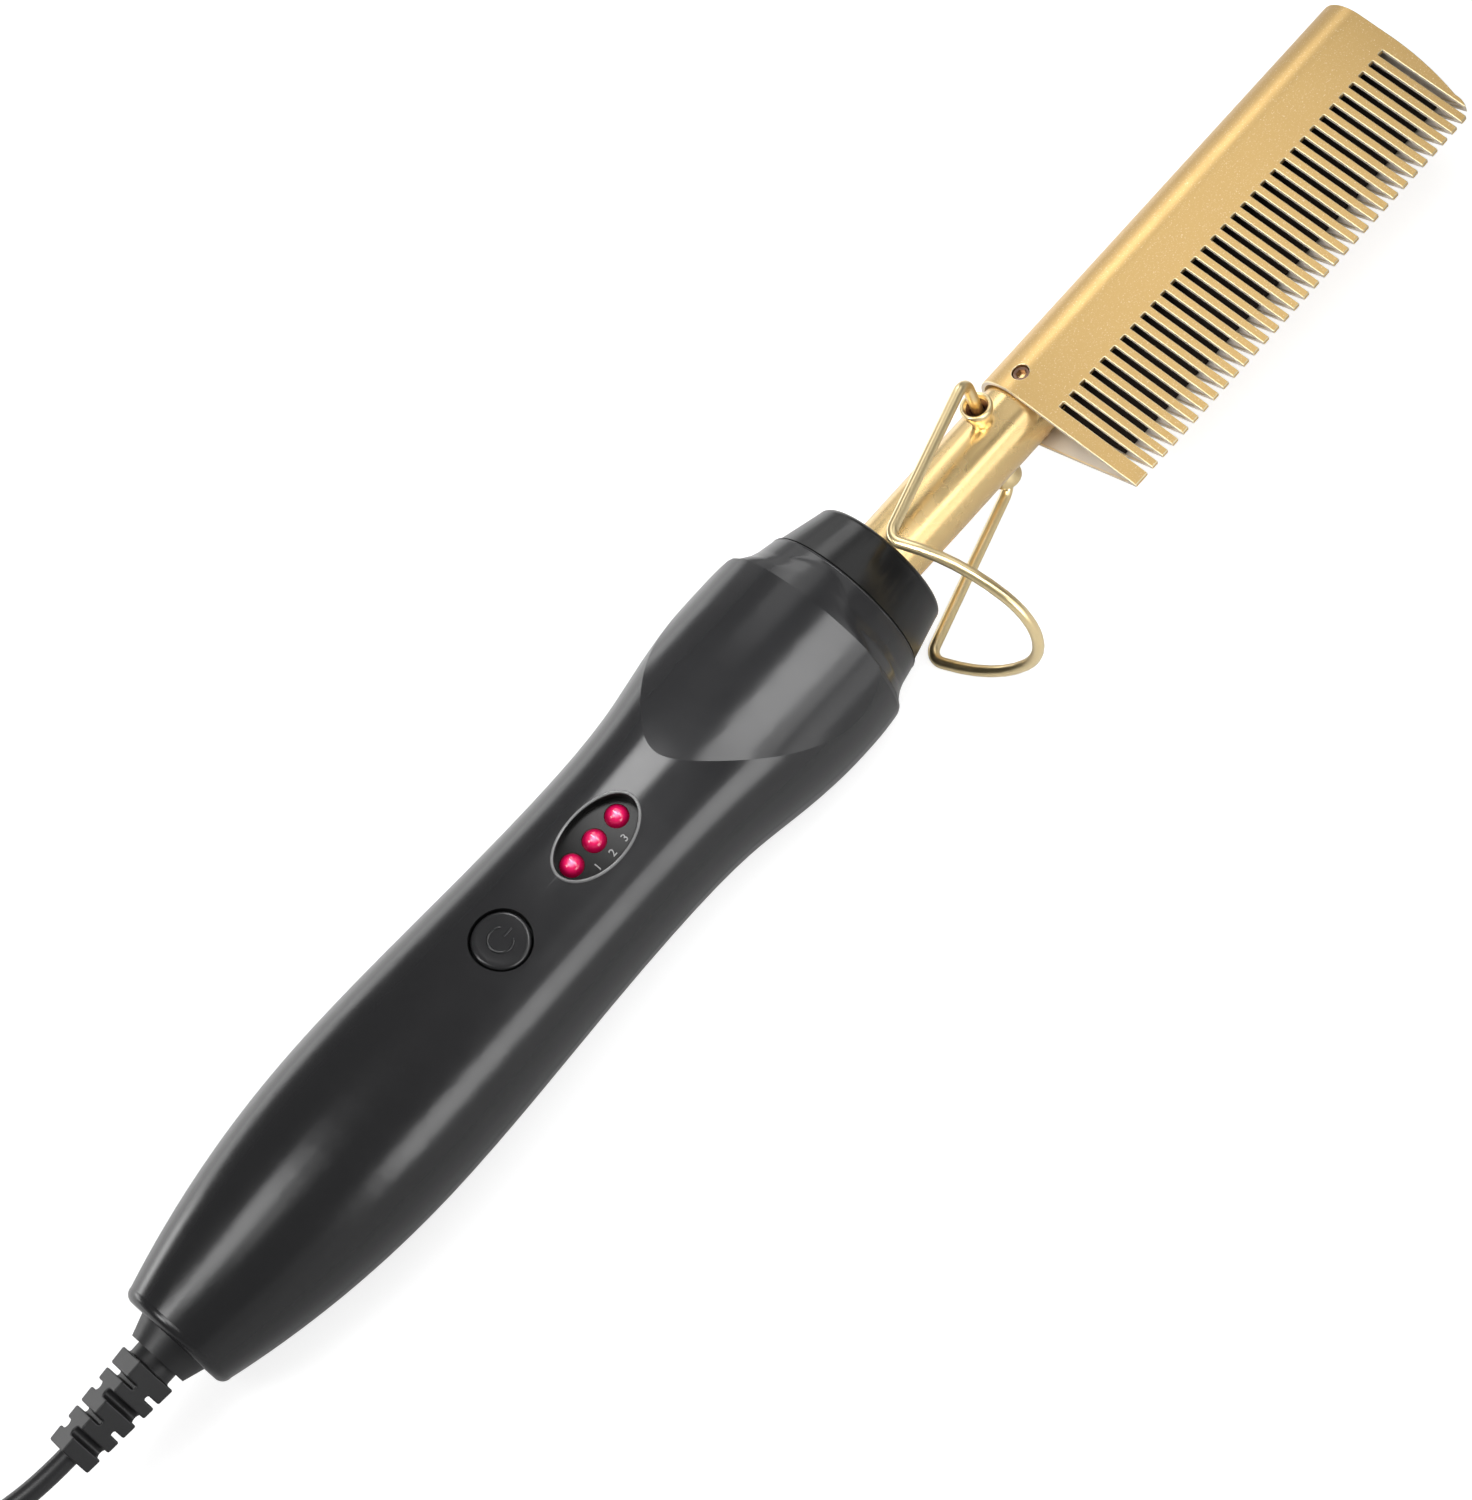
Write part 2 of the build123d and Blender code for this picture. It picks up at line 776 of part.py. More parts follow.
def slip_ring_pin():
    """Slip ring and centre pin that turn with the strain relief."""
    start = keeper_front()
    slip = disc(slip_ring_radius, start, start + slip_ring_length)
    return slip + disc(slip_pin_radius, start, start + slip_ring_length + slip_pin_length)


def terminal_block():
    """Round carrier for the brushes, held between two ribs."""
    end = terminal_x + terminal_thickness
    block_body = ring(terminal_radius, terminal_bore, terminal_x, end)
    for side in (-1, 1):
        y0, y1 = brush_span(side)
        block_body -= block(terminal_x - 1, end + 1, y0, y1, -brush_side, brush_side)
    return block_body


def brush_span(side):
    """Inner and outer side of one brush, ordered."""
    inner = slip_ring_radius + running_gap
    return sorted((side * inner, side * (inner + brush_side)))


def contact_brushes():
    """Two strips that ride beside the slip ring and run through the terminal block."""
    end = terminal_x + terminal_thickness
    strips = []
    for side in (-1, 1):
        y0, y1 = brush_span(side)
        strips.append(block(brush_back_x, end, y0, y1, -brush_side, brush_side))
    return strips


def supply_leads():
    """Two leads from the brushes to the board."""
    start = terminal_x + terminal_thickness
    top = board_top - board_thickness
    leads = []
    for side in (-1, 1):
        y = side * supply_lead_side
        route = [(start, y, 0), (supply_lead_rise_x, y, 0), (supply_lead_rise_x, y, top)]
        leads.append(round_bar(route, supply_lead_radius, [lead_bend]))
    return leads


def heater_leads():
    """Two leads from the board to the heater, through the barrel tube."""
    top = board_top - board_thickness
    leads = []
    for side in (-1, 1):
        y = side * heater_lead_side
        route = [(heater_lead_rise_x, y, top), (heater_lead_rise_x, y, 0), (heater_back_x, y, 0)]
        leads.append(round_bar(route, heater_lead_radius, [lead_bend]))
    return leads


def thermal_fuse():
    """Sleeve-shaped cut-out on one heater lead."""
    fuse = ring(fuse_radius, heater_lead_radius + fixed_gap, fuse_x, fuse_x + fuse_length)
    return Pos(0, heater_lead_side, 0) * fuse


# ---- cord, coil and plug ----

def cord_tube(route, name):
    """Cord along a hand-laid route."""
    radii = easy_radii(route)
    tube = round_bar(route, cord_radius, radii)
    print(name, "radii", [round(r, 1) for r in radii], "volume", round(tube.volume, 1))
    return tube


def cord_coil():
    """Outer shape of the coiled cord."""
    half_width = coil_turns_wide * cord_radius + 0.2
    height = 2 * coil_turns_high * cord_radius + 0.2
    outer = extrude(Circle(coil_radius + half_width), amount=height)
    return Pos(coil_x, coil_y, coil_bottom) * (
        outer - extrude(Circle(coil_radius - half_width), amount=height))


def cord_tie():
    """Flat strap round the coil's bundle on its near side."""
    half = coil_turns_wide * cord_radius + 0.2 + fixed_gap
    height = 2 * coil_turns_high * cord_radius + 0.2
    bottom = coil_bottom - tie_thickness
    inner_reach = coil_radius - half
    bulge = inner_reach - math.sqrt(inner_reach ** 2 - (tie_width / 2) ** 2)
    outer = block(-tie_width / 2, tie_width / 2, -half - tie_thickness, half + bulge + tie_thickness,
                  bottom, coil_bottom + height + tie_thickness)
    inner = block(-tie_width, tie_width, -half, half + bulge, coil_bottom - fixed_gap,
                  coil_bottom + height + fixed_gap)
    return Pos(coil_x, coil_y - coil_radius, 0) * (outer - inner)


def plug_body():
    """Flat two-pin mains plug lying on its side, narrow at the cord."""
    end = Vector(*tail_route[-1])
    neck_end = -plug_neck_length
    half_back = plug_neck_radius + 1.5
    half_wide = plug_width / 2
    half_front = plug_front_width / 2
    outline = Polyline(
        (neck_end, half_back),
        (neck_end - 12, half_wide),
        (neck_end - 18, half_wide),
        (-plug_length, half_front),
        (-plug_length, -half_front),
        (neck_end - 18, -half_wide),
        (neck_end - 12, -half_wide),
        (neck_end, -half_back),
        (neck_end, half_back),
    )
    body = extrude(make_face(outline), amount=plug_height)
    body = Pos(0, 0, -plug_height / 2) * fillet(body.edges().filter_by(Axis.Z), 2.5)
    neck = disc(plug_neck_radius, neck_end - 2, 0)
    plug = body + neck
    for side in (-1, 1):
        plug -= Pos(0, side * pin_spacing / 2, 0) * disc(
            pin_shank_radius, -plug_length - 1, pin_seat - plug_length)
    return Pos(*end) * plug


def plug_pins():
    """Two round pins, each on a thinner shank sunk in the plug's face."""
    end = Vector(*tail_route[-1])
    pins = []
    for side in (-1, 1):
        pin = disc(pin_radius, -plug_length - pin_length, -plug_length)
        tip = (pin.faces().sort_by(Axis.X)[0]).edges()
        pin = fillet(tip, pin_radius * 0.6)
        pin += disc(pin_shank_radius, -plug_length, pin_seat - plug_length)
        pins.append(Pos(end.X, end.Y + side * pin_spacing / 2, end.Z) * pin)
    return pins


# ---- the whole tool ----

def as_list(piece):
    """One solid or several, as a list."""
    return piece if isinstance(piece, list) else [piece]


outer_form = grip_outer()
front_shell, rear_shell = handle_shells(outer_form, grip_inside())

rolled = {
    "handle_front_shell": front_shell,
    "handle_rear_shell": rear_shell,
    "shell_screws": shell_screws(),
    "power_button": power_button(),
    "switch_plunger": switch_plunger(),
    "tact_switch": tact_switch(),
    "circuit_board": circuit_board(),
    "board_screws": board_screws(),
    "led_lamps": led_lamps(),
    "window_panel": window_panel(),
    "supply_leads": supply_leads(),
    "heater_leads": heater_leads(),
    "thermal_fuse": thermal_fuse(),
    "terminal_block": terminal_block(),
    "contact_brushes": contact_brushes(),
}
straight = {
    "nose_collar": nose_collar(),
    "heat_washer": ring(spigot_radius - 0.3, tube_radius + fixed_gap, washer_back(),
                        washer_back() + washer_thickness),
    "tube_flange": ring(flange_radius, tube_radius, flange_back(), flange_back() + flange_thickness),
    "barrel_tube": barrel_tube(),
    "comb_head": comb_head(),
    "head_screw": head_screw(),
    "heater_core": heater_core(),
    "upper_stud": stud(),
    "lower_stud": Pos(2 * stand_x, 0, 0) * (Rot(Y=180) * stud()),
    "stand_wire": stand_wire(),
    "swivel_socket": swivel_socket(),
    "strain_relief": strain_relief(),
    "slip_ring_pin": slip_ring_pin(),
}
laid = {
    "power_cord": cord_tube(cord_route, "power_cord"),
    "cord_coil": cord_coil(),
    "cord_tie": cord_tie(),
    "cord_tail": cord_tube(tail_route, "cord_tail"),
    "plug_body": plug_body(),
    "plug_pins": plug_pins(),
}

tool = {name: as_list(piece) for name, piece in straight.items()}
for name, piece in rolled.items():
    tool[name] = [Rot(X=grip_roll) * solid for solid in as_list(piece)]

box = Compound(children=[s for solids in tool.values() for s in solids]).bounding_box()
place = Pos(-(box.min.X + box.max.X) / 2, -(box.min.Y + box.max.Y) / 2, -box.min.Z)
print("moved by", place.position, "size", box.size)

for name, solids in tool.items():
    export_step(Compound(children=[place * solid for solid in solids]), "parts/" + name + ".step")
for name, piece in laid.items():
    export_step(Compound(children=as_list(piece)), "parts/" + name + ".step")
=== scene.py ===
import bpy
import bmesh
import json
import math
import numpy as np
from mathutils import Matrix, Vector


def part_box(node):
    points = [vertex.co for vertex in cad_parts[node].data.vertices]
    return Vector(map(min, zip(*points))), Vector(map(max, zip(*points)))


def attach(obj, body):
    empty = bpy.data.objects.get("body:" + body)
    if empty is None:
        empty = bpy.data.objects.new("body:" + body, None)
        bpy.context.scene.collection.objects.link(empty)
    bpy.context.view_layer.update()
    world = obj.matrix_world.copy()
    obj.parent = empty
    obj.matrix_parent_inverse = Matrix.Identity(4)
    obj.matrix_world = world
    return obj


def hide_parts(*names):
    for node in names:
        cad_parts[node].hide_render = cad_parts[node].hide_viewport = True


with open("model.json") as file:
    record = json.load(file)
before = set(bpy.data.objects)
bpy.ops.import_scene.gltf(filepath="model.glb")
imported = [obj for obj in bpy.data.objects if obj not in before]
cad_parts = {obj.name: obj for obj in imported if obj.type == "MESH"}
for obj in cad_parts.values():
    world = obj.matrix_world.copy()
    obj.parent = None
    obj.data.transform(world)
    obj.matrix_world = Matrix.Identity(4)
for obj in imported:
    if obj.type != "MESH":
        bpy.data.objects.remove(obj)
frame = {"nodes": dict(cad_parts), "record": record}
nodes = frame["nodes"]
slot_of = {part["node"]: part["material_slot"] for part in frame["record"]["subparts"]}
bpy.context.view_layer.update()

# ---- where the tool lies: metres, the frame's own axes ----
MM = 0.001
tube_low, tube_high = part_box("barrel_tube")
AXIS_Y = (tube_low.y + tube_high.y) / 2      # the tool's long axis, along X
AXIS_Z = (tube_low.z + tube_high.z) / 2
BUTT_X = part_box("handle_front_shell")[0].x
GRIP_ROLL = math.radians(17.5)               # the button side leans this much towards the teeth


def at_tool(x, side, height):
    """Points from distances in mm along the tool from its butt, across it and up from its axis."""
    x, side, height = np.broadcast_arrays(x, side, height)
    return np.stack([BUTT_X + x * MM, AXIS_Y + side * MM, AXIS_Z + height * MM], -1)


def at_grip(x, side, height):
    """The same, but side and height turn with the grip's button face."""
    c, s = math.cos(GRIP_ROLL), math.sin(GRIP_ROLL)
    return at_tool(x, side * c - height * s, side * s + height * c)


# ---- camera ----
SIDE_LEAN = math.radians(33.0)      # leans from straight above towards the teeth
BACK_LEAN = math.radians(11.6)      # and towards the cord
SCREEN_TURN = math.radians(47.78)   # the tool's axis on screen, above the horizontal
CAMERA_DISTANCE = 0.658
AIM = (129.0, 3.05)                 # mm along the axis, and beside it on screen
LENS = 97.92                        # mm, on a sensor whose long side is LONG_SIDE
LONG_SIDE = 36.0


def make_camera():
    """Camera over the tool's axis, leaning towards the teeth and the cord, turned on screen."""
    above = Vector((0, -math.sin(SIDE_LEAN), math.cos(SIDE_LEAN)))
    along = Vector((1, 0, 0))
    back = (above * math.cos(BACK_LEAN) - along * math.sin(BACK_LEAN)).normalized()
    screen_along = (along * math.cos(BACK_LEAN) + above * math.sin(BACK_LEAN)).normalized()
    screen_across = back.cross(screen_along) * -1
    right = screen_along * math.cos(SCREEN_TURN) + screen_across * math.sin(SCREEN_TURN)
    up = screen_along * math.sin(SCREEN_TURN) - screen_across * math.cos(SCREEN_TURN)
    aim = Vector(at_tool(AIM[0], 0, 0)) + screen_across * AIM[1] * MM
    data = bpy.data.cameras.new("camera")
    data.lens = LENS
    data.sensor_width = LONG_SIDE
    data.clip_start = 0.01
    data.clip_end = 20
    camera = bpy.data.objects.new("camera", data)
    turn = Matrix((right, up, back)).transposed().to_4x4()
    camera.matrix_world = Matrix.Translation(aim + back * CAMERA_DISTANCE) @ turn
    bpy.context.scene.collection.objects.link(camera)
    bpy.context.scene.camera = camera


# ---- cord ----
CORD_DIAMETER = 0.0035
CORD_ROUTE = [
    (-0.158, 0.00675, 0.017),
    (-0.164, 0.0070, 0.017),
    (-0.172, 0.0090, 0.0168),
    (-0.181, 0.0128, 0.0149),
    (-0.191, 0.0170, 0.0112),
    (-0.202, 0.0214, 0.0069),
    (-0.2125, 0.0243, 0.0037),
    (-0.2225, 0.0250, 0.00245),
]
TAIL_ROUTE = [
    (-0.2397, 0.0226, 0.01295),
    (-0.2505, 0.0175, 0.0125),
    (-0.263, 0.0119, 0.0103),
    (-0.2735, 0.0072, 0.008),
    (-0.282, 0.0046, 0.00685),
    (-0.2885, 0.0046, 0.00685),
]
COIL_CENTRE = (-0.229, -0.00025)
COIL_OUTER = 0.02525                # middle of the outermost turn
COIL_FIRST_Z = 0.00245
COIL_LAYERS = 4
TURN_GAP = 0.00358
LAYER_GAP = 0.00355
TURNS_PER_LAYER = 3
REST_TURN = 0.5                     # part of a turn in which the cord climbs to the next layer
STEPS_PER_TURN = 16
COIL_START = 97.0
COIL_END = 105.0


def coil_points():
    """Turns of the coil: a layer winds in or out by one gap a turn, then climbs for half a turn."""
    start = math.radians(COIL_START)
    count = int(COIL_LAYERS * (TURNS_PER_LAYER + REST_TURN) * STEPS_PER_TURN)
    step = 2 * math.pi / STEPS_PER_TURN
    last = math.radians(COIL_END - COIL_START) / (REST_TURN * STEPS_PER_TURN)
    points = []
    angle = start
    for i in range(count):
        layer, part = divmod(i / STEPS_PER_TURN, TURNS_PER_LAYER + REST_TURN)
        wound = min(part, TURNS_PER_LAYER) * TURN_GAP
        inner = COIL_OUTER - TURNS_PER_LAYER * TURN_GAP
        radius = COIL_OUTER - wound if layer % 2 == 0 else inner + wound
        climb = max(0.0, part - TURNS_PER_LAYER) / REST_TURN
        if layer == COIL_LAYERS - 1:
            climb = 0.0
        height = COIL_FIRST_Z + LAYER_GAP * (layer + math.sin(climb * math.pi / 2))
        points.append((COIL_CENTRE[0] + radius * math.cos(angle),
                       COIL_CENTRE[1] + radius * math.sin(angle), height))
        resting = layer == COIL_LAYERS - 1 and part >= TURNS_PER_LAYER
        angle += step + (last if resting else 0.0)
    return points


def make_cord(material):
    """Round cord on one smooth line: the listed route, the coil's turns and the tail."""
    points = CORD_ROUTE + coil_points() + TAIL_ROUTE
    curve = bpy.data.curves.new("mains_cord", "CURVE")
    curve.dimensions = "3D"
    curve.bevel_depth = CORD_DIAMETER / 2
    curve.bevel_resolution = 5
    curve.resolution_u = 6
    curve.use_fill_caps = True
    line = curve.splines.new("NURBS")
    line.points.add(len(points) - 1)
    for point, place in zip(line.points, points):
        point.co = (*place, 1.0)
    line.order_u = 3
    line.use_endpoint_u = True
    curve.materials.append(material)
    piece = bpy.data.objects.new("mains_cord", curve)
    bpy.context.scene.collection.objects.link(piece)
    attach(piece, "tool")
    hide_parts("power_cord", "cord_coil", "cord_tail")


# ---- surfaces ----

def add_piece(name, points, faces, material, body, stands_for=None, sharp=35.0):
    """Mesh from points and faces.

    Doubles are merged, faces turned outwards and edges past an angle kept sharp.
    """
    mesh = bpy.data.meshes.new(name)
    work = bmesh.new()
    mesh.from_pydata(np.asarray(points).reshape(-1, 3).tolist(), [],
                     [tuple(face) for face in faces])
    work.from_mesh(mesh)
    bmesh.ops.remove_doubles(work, verts=work.verts, dist=1e-7)
    bmesh.ops.recalc_face_normals(work, faces=work.faces)
    soften(work, sharp)
    work.to_mesh(mesh)
    work.free()
    return finish_piece(name, mesh, material, body, stands_for)


def soften(work, sharp):
    """Smooth shading, with edges that turn past an angle kept sharp."""
    limit = math.radians(sharp)
    for face in work.faces:
        face.smooth = True
    for edge in work.edges:
        edge.smooth = edge.calc_face_angle(0.0) < limit


def finish_piece(name, mesh, material, body, stands_for):
    """Object at the origin that rides on its body and takes its finish."""
    mesh.materials.append(material)
    piece = bpy.data.objects.new(name, mesh)
    bpy.context.scene.collection.objects.link(piece)
    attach(piece, body)
    if stands_for:
        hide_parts(*stands_for)
    return piece


def grid_faces(rows, columns, closed_rows=False):
    """Quads of a grid whose columns close round; the first and last rows are capped or joined."""
    i = np.arange(rows if closed_rows else rows - 1)[:, None]
    j = np.arange(columns)[None, :]
    a, b = i * columns, ((i + 1) % rows) * columns
    k = (j + 1) % columns
    faces = np.stack([a + j, a + k, b + k, b + j], -1).reshape(-1, 4).tolist()
    if not closed_rows:
        faces.append(list(range(columns))[::-1])
        faces.append(list(range((rows - 1) * columns, rows * columns)))
    return faces


def unit(vectors):
    """The same directions with length 1."""
    return vectors / np.linalg.norm(vectors, axis=-1, keepdims=True)


def bead(path, up, radius, sides=14, closed=False):
    """Round bar along a path: p(s, a) = path(s) + radius(s) (cos a W + sin a V).

    W is at right angles to the path and to the given up direction, V to the path and W.
    """
    if closed:
        along = unit(np.roll(path, -1, 0) - np.roll(path, 1, 0))
    else:
        along = unit(np.gradient(path, axis=0))
    across = unit(np.cross(along, up))
    over = np.cross(across, along)
    a = np.linspace(0, 2 * math.pi, sides, endpoint=False)
    radius = np.broadcast_to(radius, len(path))[:, None, None]
    ring = (np.cos(a)[None, :, None] * across[:, None, :]
            + np.sin(a)[None, :, None] * over[:, None, :])
    return path[:, None, :] + radius * ring, grid_faces(len(path), sides, closed)


def turned(profile, centre, axis_sign, sides=48):
    """Profile of (radius, height) turned about an upright axis: p = (r cos a, r sin a, sign h)."""
    a = np.linspace(0, 2 * math.pi, sides, endpoint=False)
    radius, height = np.array(profile).T
    x = centre[0] + radius[:, None] * np.cos(a)
    side = centre[1] + radius[:, None] * np.sin(a)
    rise = axis_sign * np.broadcast_to(height[:, None], x.shape)
    return at_tool(x, side, rise), grid_faces(len(radius), sides)


def rounded_path(corners, radii, step=math.radians(6)):
    """Straight runs joined by arcs: an arc is start + R (sin s a + (1 - cos s) n).

    a is the way in, n points from it towards the way out, and s runs over the turn.
    """
    corners = np.asarray(corners, float)
    points = [corners[0]]
    for before, corner, after, radius in zip(corners, corners[1:], corners[2:], radii):
        a, b = unit(corner - before), unit(after - corner)
        turn = math.acos(float(np.clip(a @ b, -1, 1)))
        start = corner - a * radius * math.tan(turn / 2)
        n = unit(b - (a @ b) * a)
        s = np.linspace(0, turn, max(4, int(turn / step)))[:, None]
        points.extend(start + radius * (np.sin(s) * a + (1 - np.cos(s)) * n))
    points.append(corners[-1])
    return np.array(points)


def eased_copy(name, node, material, bevel_mm, edge_material=None,
               inside=None, inside_material=None):
    """Copy of a solid whose doubles are merged, flat faces joined and sharp edges rounded over.

    Faces that the inside test picks take the inner material, and rounded edges the edge material.
    """
    source = nodes[node].data
    points = np.empty(len(source.vertices) * 3)
    source.vertices.foreach_get("co", points)
    mesh = bpy.data.meshes.new(name)
    faces = [tuple(face.vertices) for face in source.polygons]
    mesh.from_pydata(points.reshape(-1, 3).tolist(), [], faces)
    work = bmesh.new()
    work.from_mesh(mesh)
    bmesh.ops.remove_doubles(work, verts=work.verts, dist=2e-6)
    bmesh.ops.dissolve_limit(work, angle_limit=math.radians(0.6), verts=work.verts,
                             edges=work.edges)
    weight = work.edges.layers.float.new("bevel_weight_edge")
    soften(work, 32.0)
    for edge in work.edges:
        edge[weight] = 0.0 if edge.smooth else 1.0
    work.to_mesh(mesh)
    work.free()
    body = next(b for b, held in frame["record"]["behaviour"]["bodies"].items() if node in held)
    piece = finish_piece(name, mesh, material, body, [node])
    for extra in (inside_material, edge_material):
        if extra:
            mesh.materials.append(extra)
    if inside is not None:
        centres = np.array([face.center[:] for face in mesh.polygons])
        mesh.polygons.foreach_set("material_index", inside(centres).astype(int))
    ease = piece.modifiers.new("eased edges", "BEVEL")
    ease.width = bevel_mm * MM
    ease.segments = 2
    ease.limit_method = "WEIGHT"
    ease.use_clamp_overlap = False
    ease.harden_normals = True
    ease.miter_outer = "MITER_ARC"
    if edge_material:
        ease.material = len(mesh.materials) - 1


# ---- comb ----
COMB_ROUND = 7.5                             # outer radius of the comb's back, mm
COMB_DEPTH = 26.6                            # from the tool's axis to the tips of the teeth
COMB_WALL = 0.8
TIP_HALF = 0.35                              # half the thickness of both plates at the tips


def plate_lean():
    """Angle at which each plate leaves the round back to meet the other at the tips."""
    reach = math.hypot(COMB_DEPTH, TIP_HALF)
    return math.asin(COMB_ROUND / reach) - math.atan2(TIP_HALF, COMB_DEPTH)


def inside_comb(points):
    """Whether points lie on the comb's inner skin: 0.7 of the wall or more under the outer skin.

    The skin is a cylinder about the axis, and two planes with height cos L + depth sin L = radius.
    """
    lean = plate_lean()
    depth = (AXIS_Y - points[:, 1]) / MM
    height = np.abs(points[:, 2] - AXIS_Z) / MM
    plane = height * math.cos(lean) + depth * math.sin(lean)
    skin = np.where(depth > COMB_ROUND * math.sin(lean), plane, np.hypot(depth, height))
    return skin < COMB_ROUND - COMB_WALL * 0.7


# ---- stand and studs ----
STAND_X = 196.2                              # mm along the tool
WIRE = 1.0                                   # radius of the stand's wire
BORE_FLOOR = 7.3                             # height of the floor of each stud's bore
STAND_LEAN = 16.1                            # degrees that the legs lean towards the teeth
UPPER_LEG, LOWER_LEG = 30.35, 33.65          # lengths from the pivot to the foot
UPPER_HEIGHT, LOWER_HEIGHT = 18.0, 13.4      # heights of the legs off the axis at the studs
FOOT_HALF = 16.0                             # half height of the foot
FOOT_START, FOOT_DEPTH = 3.0, 20.5           # straight run, and depth of the round, of the foot
LEG_BEND = 2.6                               # radius of the wire's tight bends


def stand_path():
    """Corners of the wire and its arcs: a pin, a leg, the rounded foot, and back."""
    lean = math.radians(STAND_LEAN)
    along = np.array([-math.cos(lean), -math.sin(lean), 0.0])
    foot = np.array([math.sin(lean), -math.cos(lean), 0.0])
    up = np.array([0.0, 0.0, 1.0])
    pivot = np.array([STAND_X, 0.0, 0.0])
    upper = pivot + along * UPPER_LEG + up * FOOT_HALF
    lower = pivot + along * LOWER_LEG - up * FOOT_HALF
    middle, half = (upper + lower) / 2, (upper - lower) / 2
    half_width = np.linalg.norm(half)
    across = half / half_width
    root = math.sqrt(0.5)
    end_radius = (root * half_width - FOOT_DEPTH * (1 - root)) / (root ** 2 - (1 - root) ** 2)
    side_radius = (half_width - root * end_radius) / (1 - root)
    start = FOOT_START + side_radius * math.tan(math.radians(22.5))
    corners = [pivot + up * (BORE_FLOOR + 0.05), pivot + up * UPPER_HEIGHT, upper,
               middle + foot * start + across * half_width,
               middle + foot * (start + half_width),
               middle + foot * start - across * half_width,
               lower, pivot - up * LOWER_HEIGHT, pivot - up * (BORE_FLOOR + 0.05)]
    side, end = side_radius * 0.99, end_radius * 0.99
    radii = [LEG_BEND, LEG_BEND, side, end, side, LEG_BEND, LEG_BEND]
    return rounded_path(corners, radii), along - foot


def make_stand(material):
    """Round wire carried along the stand's path."""
    path, up = stand_path()
    points, faces = bead(path, up, WIRE, 20)
    add_piece("stand_bar", at_tool(*np.moveaxis(points, -1, 0)), faces, material, "stand",
              ["stand_wire"])


def make_stud(name, sign, material, dark, node):
    """Flared cup turned about the pivot: a foot, a swelling side, a rolled lip and a bore.

    The side's radius is 1.84 + 0.96 sin(q)^1.6, where q is a quarter turn over its height. The
    faces in the mouth take a dark finish, a painted shade in the bore.
    """
    foot = [(0.0, 5.4), (1.9, 5.4), (1.84, 6.6)]
    h = np.linspace(0, 1, 12)[1:]
    flare = np.stack([1.84 + 0.96 * np.sin(h * math.pi / 2) ** 1.6, 6.6 + 3.55 * h], -1)
    a = np.linspace(0, math.pi * 0.9, 7)[1:]
    lip = np.stack([2.42 + 0.38 * np.cos(a), 10.15 + 0.5 * np.sin(a)], -1)
    mouth = [(1.85, 9.9), (1.3, 9.45), (1.09, 9.1), (1.09, BORE_FLOOR), (0.0, BORE_FLOOR)]
    profile = np.concatenate([foot, flare, lip, mouth])
    points, faces = turned(profile, (STAND_X, 0.0), sign)
    piece = add_piece(name, points, faces, material, "tool", [node], 60.0)
    centres = np.array([face.center[:] for face in piece.data.polygons])
    centres = (centres - at_tool(STAND_X, 0, 0)) / MM
    # Painted shade: faces in the stud's mouth take the dark finish.
    mouth_shade = (np.hypot(centres[:, 0], centres[:, 1]) < 1.6) & (sign * centres[:, 2] > 7.0)
    piece.data.materials.append(dark)
    piece.data.polygons.foreach_set("material_index", mouth_shade.astype(int))


def make_barrel(material):
    """Tube from the grip to the comb: its wall's outline turned about the tool's axis."""
    outline = [(140.0, 5.45), (140.0, 6.25), (213.5, 6.25), (213.6, 6.15), (213.6, 5.45)]
    x, radius = np.array(outline).T
    a = np.linspace(0, 2 * math.pi, 128, endpoint=False)
    points = at_tool(x[:, None], radius[:, None] * np.cos(a), radius[:, None] * np.sin(a))
    add_piece("barrel", points, grid_faces(len(x), len(a), True), material, "tool",
              ["barrel_tube"])


# ---- nose of the grip ----
NOSE_BACK, NOSE_FRONT = 152.0, 158.98        # mm along the tool: the shoulder's rim, the seam
NOSE_STEPS = (151.85, 153.9, 155.4, 159.0)   # round profile of the solid there
NOSE_RADII = (17.8, 16.45, 15.9, 15.15)
NOSE_COVER = 0.02                            # the piece stands at least about this far over it
OVAL_HALF_WIDTH = 19.45
FLAT_TURN = math.radians(7.5)                # the flat is turned this far from the button face
FLAT_BACK, FLAT_FALL = 15.95, 0.58 / 5.6     # its half height at the back, and how it falls
SOLID_FLAT = 15.35                           # half height of the solid's own flat
BLEND = 0.5                                  # mm over which flat and round melt together
NOSE_INNER = 14.6                            # hidden inner radius of the piece


def oval_radius(half_height, turn):
    """Radius of an oval at an angle from its short axis: (cos2 / h2 + sin2 / w2) ^ -1/2."""
    return (np.cos(turn) ** 2 / half_height ** 2 + np.sin(turn) ** 2 / OVAL_HALF_WIDTH ** 2) ** -0.5


